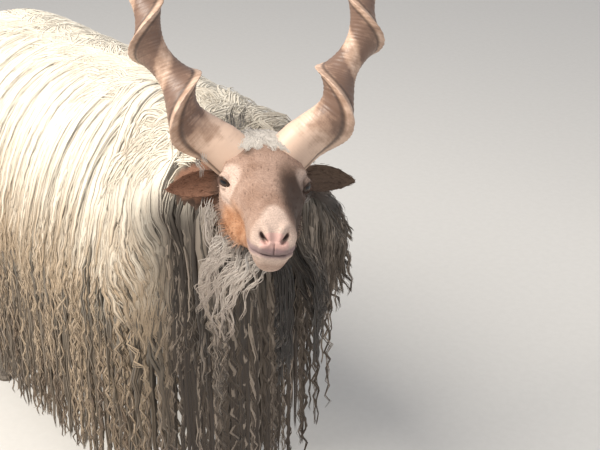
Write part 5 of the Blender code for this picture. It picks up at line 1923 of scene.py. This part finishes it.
# Painted shade in the nostrils and along the mouth's line.
colour = nodes.mix(nodes.fit(nodes.value_of("cleft"), 0.15, 0.75), colour, CLEFT_SHADE)
naked = nodes.value_of("naked")
fine = {"Factor": naked, 2: nap["Streaks"], 3: nodes.noise(place, 1400.0, 3.0)}
fine = nodes.add("ShaderNodeMix", fine).outputs[0]
damp = nodes.fit(naked, 0.2, 0.8, 0.72, 0.42)
nodes.give(shader, Base_Color=colour, Roughness=damp, Normal=nodes.bump(fine, 0.0009, 0.55))
print("short coat done")

# %% [markdown]
# ## Horn, hoof and eye
#
# Horn is cream to tan with brown streaks that run with its growth, and darker in the grooves along
# the keel. The pattern is read from how far each corner is along the horn and round it, so it winds
# with the horn instead of running straight through it.

# %% Horn
HORN_CREAM, HORN_TAN = (0.70, 0.50, 0.38), (0.42, 0.27, 0.19)
HORN_BROWN, GROOVE_DARK = (0.185, 0.110, 0.078), (0.055, 0.032, 0.024)
horn_coat, nodes, shader = new_material("horn", Coat_Weight=0.08, Coat_Roughness=0.35)
round_it = nodes.value_of("round", "Vector")
grown = nodes.value_of("along")
wound = nodes.vector("ADD", round_it, nodes.joined(Z=nodes.times(grown, 3.0)))
grain = nodes.group(STREAKS, Place=wound, Stretch=(1.0, 1.0, 0.10), Fineness=9.0)
bands = nodes.noise(nodes.joined(X=nodes.times(grown, 46.0)), 1.0, 3.0)
split = nodes.split(round_it)
sides = nodes.maths("ABSOLUTE", split["Y"])
fine_ribs = nodes.noise(nodes.joined(X=nodes.times(grown, 190.0), Y=split["Y"]), 1.0, 2.0, 0.4)
mottled = nodes.noise(nodes.place(), 38.0, 4.0)
brown = nodes.plus(
    nodes.times(nodes.fit(grain["Streaks"], 0.30, 0.74), 0.10),
    nodes.times(nodes.fit(bands, 0.40, 0.80), 0.25),
    nodes.times(nodes.fit(mottled, 0.35, 0.70), 0.50),
    nodes.times(nodes.fit(fine_ribs, 0.35, 0.70), 0.14),
    nodes.times(nodes.fit(sides, 0.35, 0.85), nodes.fit(grown, 0.06, 0.22, 0.0, 0.75)),
    nodes.fit(grown, 0.02, 0.30, -0.26, 0.26),
)
colour = nodes.mix(nodes.fit(brown, 0.15, 0.85), HORN_CREAM, HORN_TAN)
colour = nodes.mix(nodes.fit(brown, 0.70, 1.35), colour, HORN_BROWN)
groove = nodes.times(nodes.fit(sides, 0.36, 0.56), nodes.fit(sides, 0.78, 0.60))
groove = nodes.times(groove, nodes.fit(split["X"], 0.2, 0.6))
colour = nodes.mix(nodes.times(groove, 0.75), colour, GROOVE_DARK)
rough = nodes.fit(grain["Streaks"], 0.3, 0.7, 0.38, 0.58)
relief = nodes.plus(fine_ribs, nodes.times(grain["Streaks"], 0.15))
nodes.give(shader, Base_Color=colour, Roughness=rough, Normal=nodes.bump(relief, 0.0009, 0.35))
print("horn done")

# %% [markdown]
# Hooves are dark horn with pale rings of growth and streaks that run down. A sheep's pupil is a
# level slot in a dark amber iris: both are drawn from how far each corner of the eyeball lies from
# the middle of the pupil. A clear coat over the eye makes it wet.

# %% Hoof and eye
HOOF_DARK, HOOF_PALE, HOOF_RING = (0.075, 0.060, 0.048), (0.19, 0.155, 0.12), (0.29, 0.245, 0.20)
IRIS_DARK, IRIS_AMBER, IRIS_RIM = (0.020, 0.010, 0.006), (0.060, 0.028, 0.012), (0.030, 0.015, 0.010)
PUPIL_BLACK, EYE_WHITE = (0.004, 0.004, 0.006), (0.12, 0.075, 0.060)
PUPIL_HALF_LENGTH, PUPIL_HALF_HEIGHT = 0.0060, 0.0024

hoof_coat, nodes, shader = new_material("hoof", Coat_Weight=0.05)
place = nodes.place()
grain = nodes.group(STREAKS, Place=place, Stretch=(1.0, 1.0, 0.15), Fineness=300.0)
rings = nodes.noise(nodes.vector("MULTIPLY", place, (0.1, 0.1, 1.0)), 230.0)
colour = nodes.mix(nodes.fit(grain["Streaks"], 0.35, 0.7), HOOF_DARK, HOOF_PALE)
colour = nodes.mix(nodes.times(nodes.fit(rings, 0.5, 0.7), 0.5), colour, HOOF_RING)
nodes.give(shader, Base_Color=colour, Roughness=nodes.fit(grain["Streaks"], 0.3, 0.7, 0.42, 0.65))

wet = {"Roughness": 0.30, "Specular_IOR_Level": 0.2, "Coat_Weight": 0.4, "Coat_Roughness": 0.03}
eye_coat, nodes, shader = new_material("eye", **wet)
seen = nodes.value_of("seen", "Vector")
flat_on = nodes.vector("MULTIPLY", seen, (1.0, 1.0, 0.0))
radius = nodes.add("ShaderNodeVectorMath", {0: flat_on}, operation="LENGTH").outputs["Value"]
iris = nodes.mix(nodes.fit(nodes.noise(flat_on, 900.0, 4.0), 0.35, 0.7), IRIS_DARK, IRIS_AMBER)
iris = nodes.mix(nodes.fit(radius, 0.0072, 0.0100), iris, IRIS_RIM)
away = nodes.split(seen)
level = nodes.maths("DIVIDE", nodes.maths("ABSOLUTE", away["X"]), PUPIL_HALF_LENGTH)
upright = nodes.maths("DIVIDE", nodes.maths("ABSOLUTE", away["Y"]), PUPIL_HALF_HEIGHT)
slot = nodes.plus(nodes.maths("POWER", level, 4.0), nodes.maths("POWER", upright, 2.0))
iris = nodes.mix(nodes.fit(slot, 1.2, 0.8), iris, PUPIL_BLACK)
nodes.give(shader, Base_Color=nodes.mix(nodes.fit(radius, 0.0110, 0.0118), iris, EYE_WHITE))
print("hoof and eye done")

# %% [markdown]
# ## Put everything in place
#
# Every piece rides on the one body of the model, and gets the material of its finish. Real wool
# lets light through and scatters it from lock to lock. Solid locks can't, and their shadows would
# turn every gap black, so the pieces of wool throw no shadow at all.

# %% Dress the pieces
FINISHES = {
    "wool": (wool, coat),
    "frosty_wool": (frosty, head_wool),
    "short_coat": (short_coat, [skin] + [piece for piece, _ in short_hair]),
    "horn": (horn_coat, horns),
    "hoof": (hoof_coat, hooves),
    "eye": (eye_coat, eyes),
}
for slot, (finish, pieces) in FINISHES.items():
    for piece in pieces:
        piece.data.materials.clear()
        piece.data.materials.append(finish)
        piece.visible_shadow = finish not in (wool, frosty)
        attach(piece, "root")
print("pieces:", sum(len(pieces) for _, pieces in FINISHES.values()))

# %% [markdown]
# ## Floor and light
#
# A plain pale floor runs far past the picture. The main light is large and high on the left of
# the picture, as the sun's glow was, and a weak one from the right opens the shadows. A pale sky
# all round lifts the rest, as an overcast day does.

# %% Floor and light
FLOOR_DARK, FLOOR_PALE = (0.68, 0.66, 0.63), (0.70, 0.68, 0.65)
floor_mesh = bpy.data.meshes.new("floor")
floor_mesh.from_pydata([(-15, -15, 0), (15, -15, 0), (15, 15, 0), (-15, 15, 0)], [], [(0, 1, 2, 3)])
floor = add_object("floor", floor_mesh)
floor_coat, nodes, shader = new_material("floor", Roughness=0.8)
patch = nodes.fit(nodes.noise(nodes.place(), 60.0, 3.0), 0.3, 0.7)
nodes.give(shader, Base_Color=nodes.mix(patch, FLOOR_DARK, FLOOR_PALE))
floor_mesh.materials.append(floor_coat)


def lamp(name, toward, distance, size, power, colour):
    """A square soft light that faces the ram's middle."""
    light = bpy.data.lights.new(name, "AREA")
    light.size, light.energy, light.color = size, power, colour
    made = add_object(name, light)
    way = Vector(toward).normalized()
    made.location = Vector((0.2, 0, 0.5)) + way * distance
    made.rotation_euler = way.to_track_quat("Z", "Y").to_euler()


from_left = -right * 0.85 + back * 0.45 + Vector((0, 0, 0.95))
from_right = right * 0.9 + back * 0.8 + Vector((0, 0, 0.4))
lamp("main_light", from_left, 3.0, 1.9, 145, (1.0, 0.95, 0.87))
lamp("fill_light", from_right, 3.2, 2.2, 14, (0.94, 0.97, 1.0))
world = bpy.data.worlds.new("studio")
world.use_nodes = True
sky = world.node_tree.nodes["Background"].inputs
sky["Color"].default_value = (0.96, 0.97, 1.0, 1)
sky["Strength"].default_value = 0.56
bpy.context.scene.world = world
bpy.context.scene.view_settings.view_transform = "Standard"
print("lights and floor set")

# %% [markdown]
# ## The count of triangles
#
# The dressed ram is meant to stand where the solids stand and reach about as far. Its triangles
# are counted.

# %% Count the triangles
bpy.context.view_layer.update()
meshes = [piece.data for _, pieces in FINISHES.values() for piece in pieces]
print("triangles in all:", sum(len(mesh.loops) - 2 * len(mesh.polygons) for mesh in meshes))
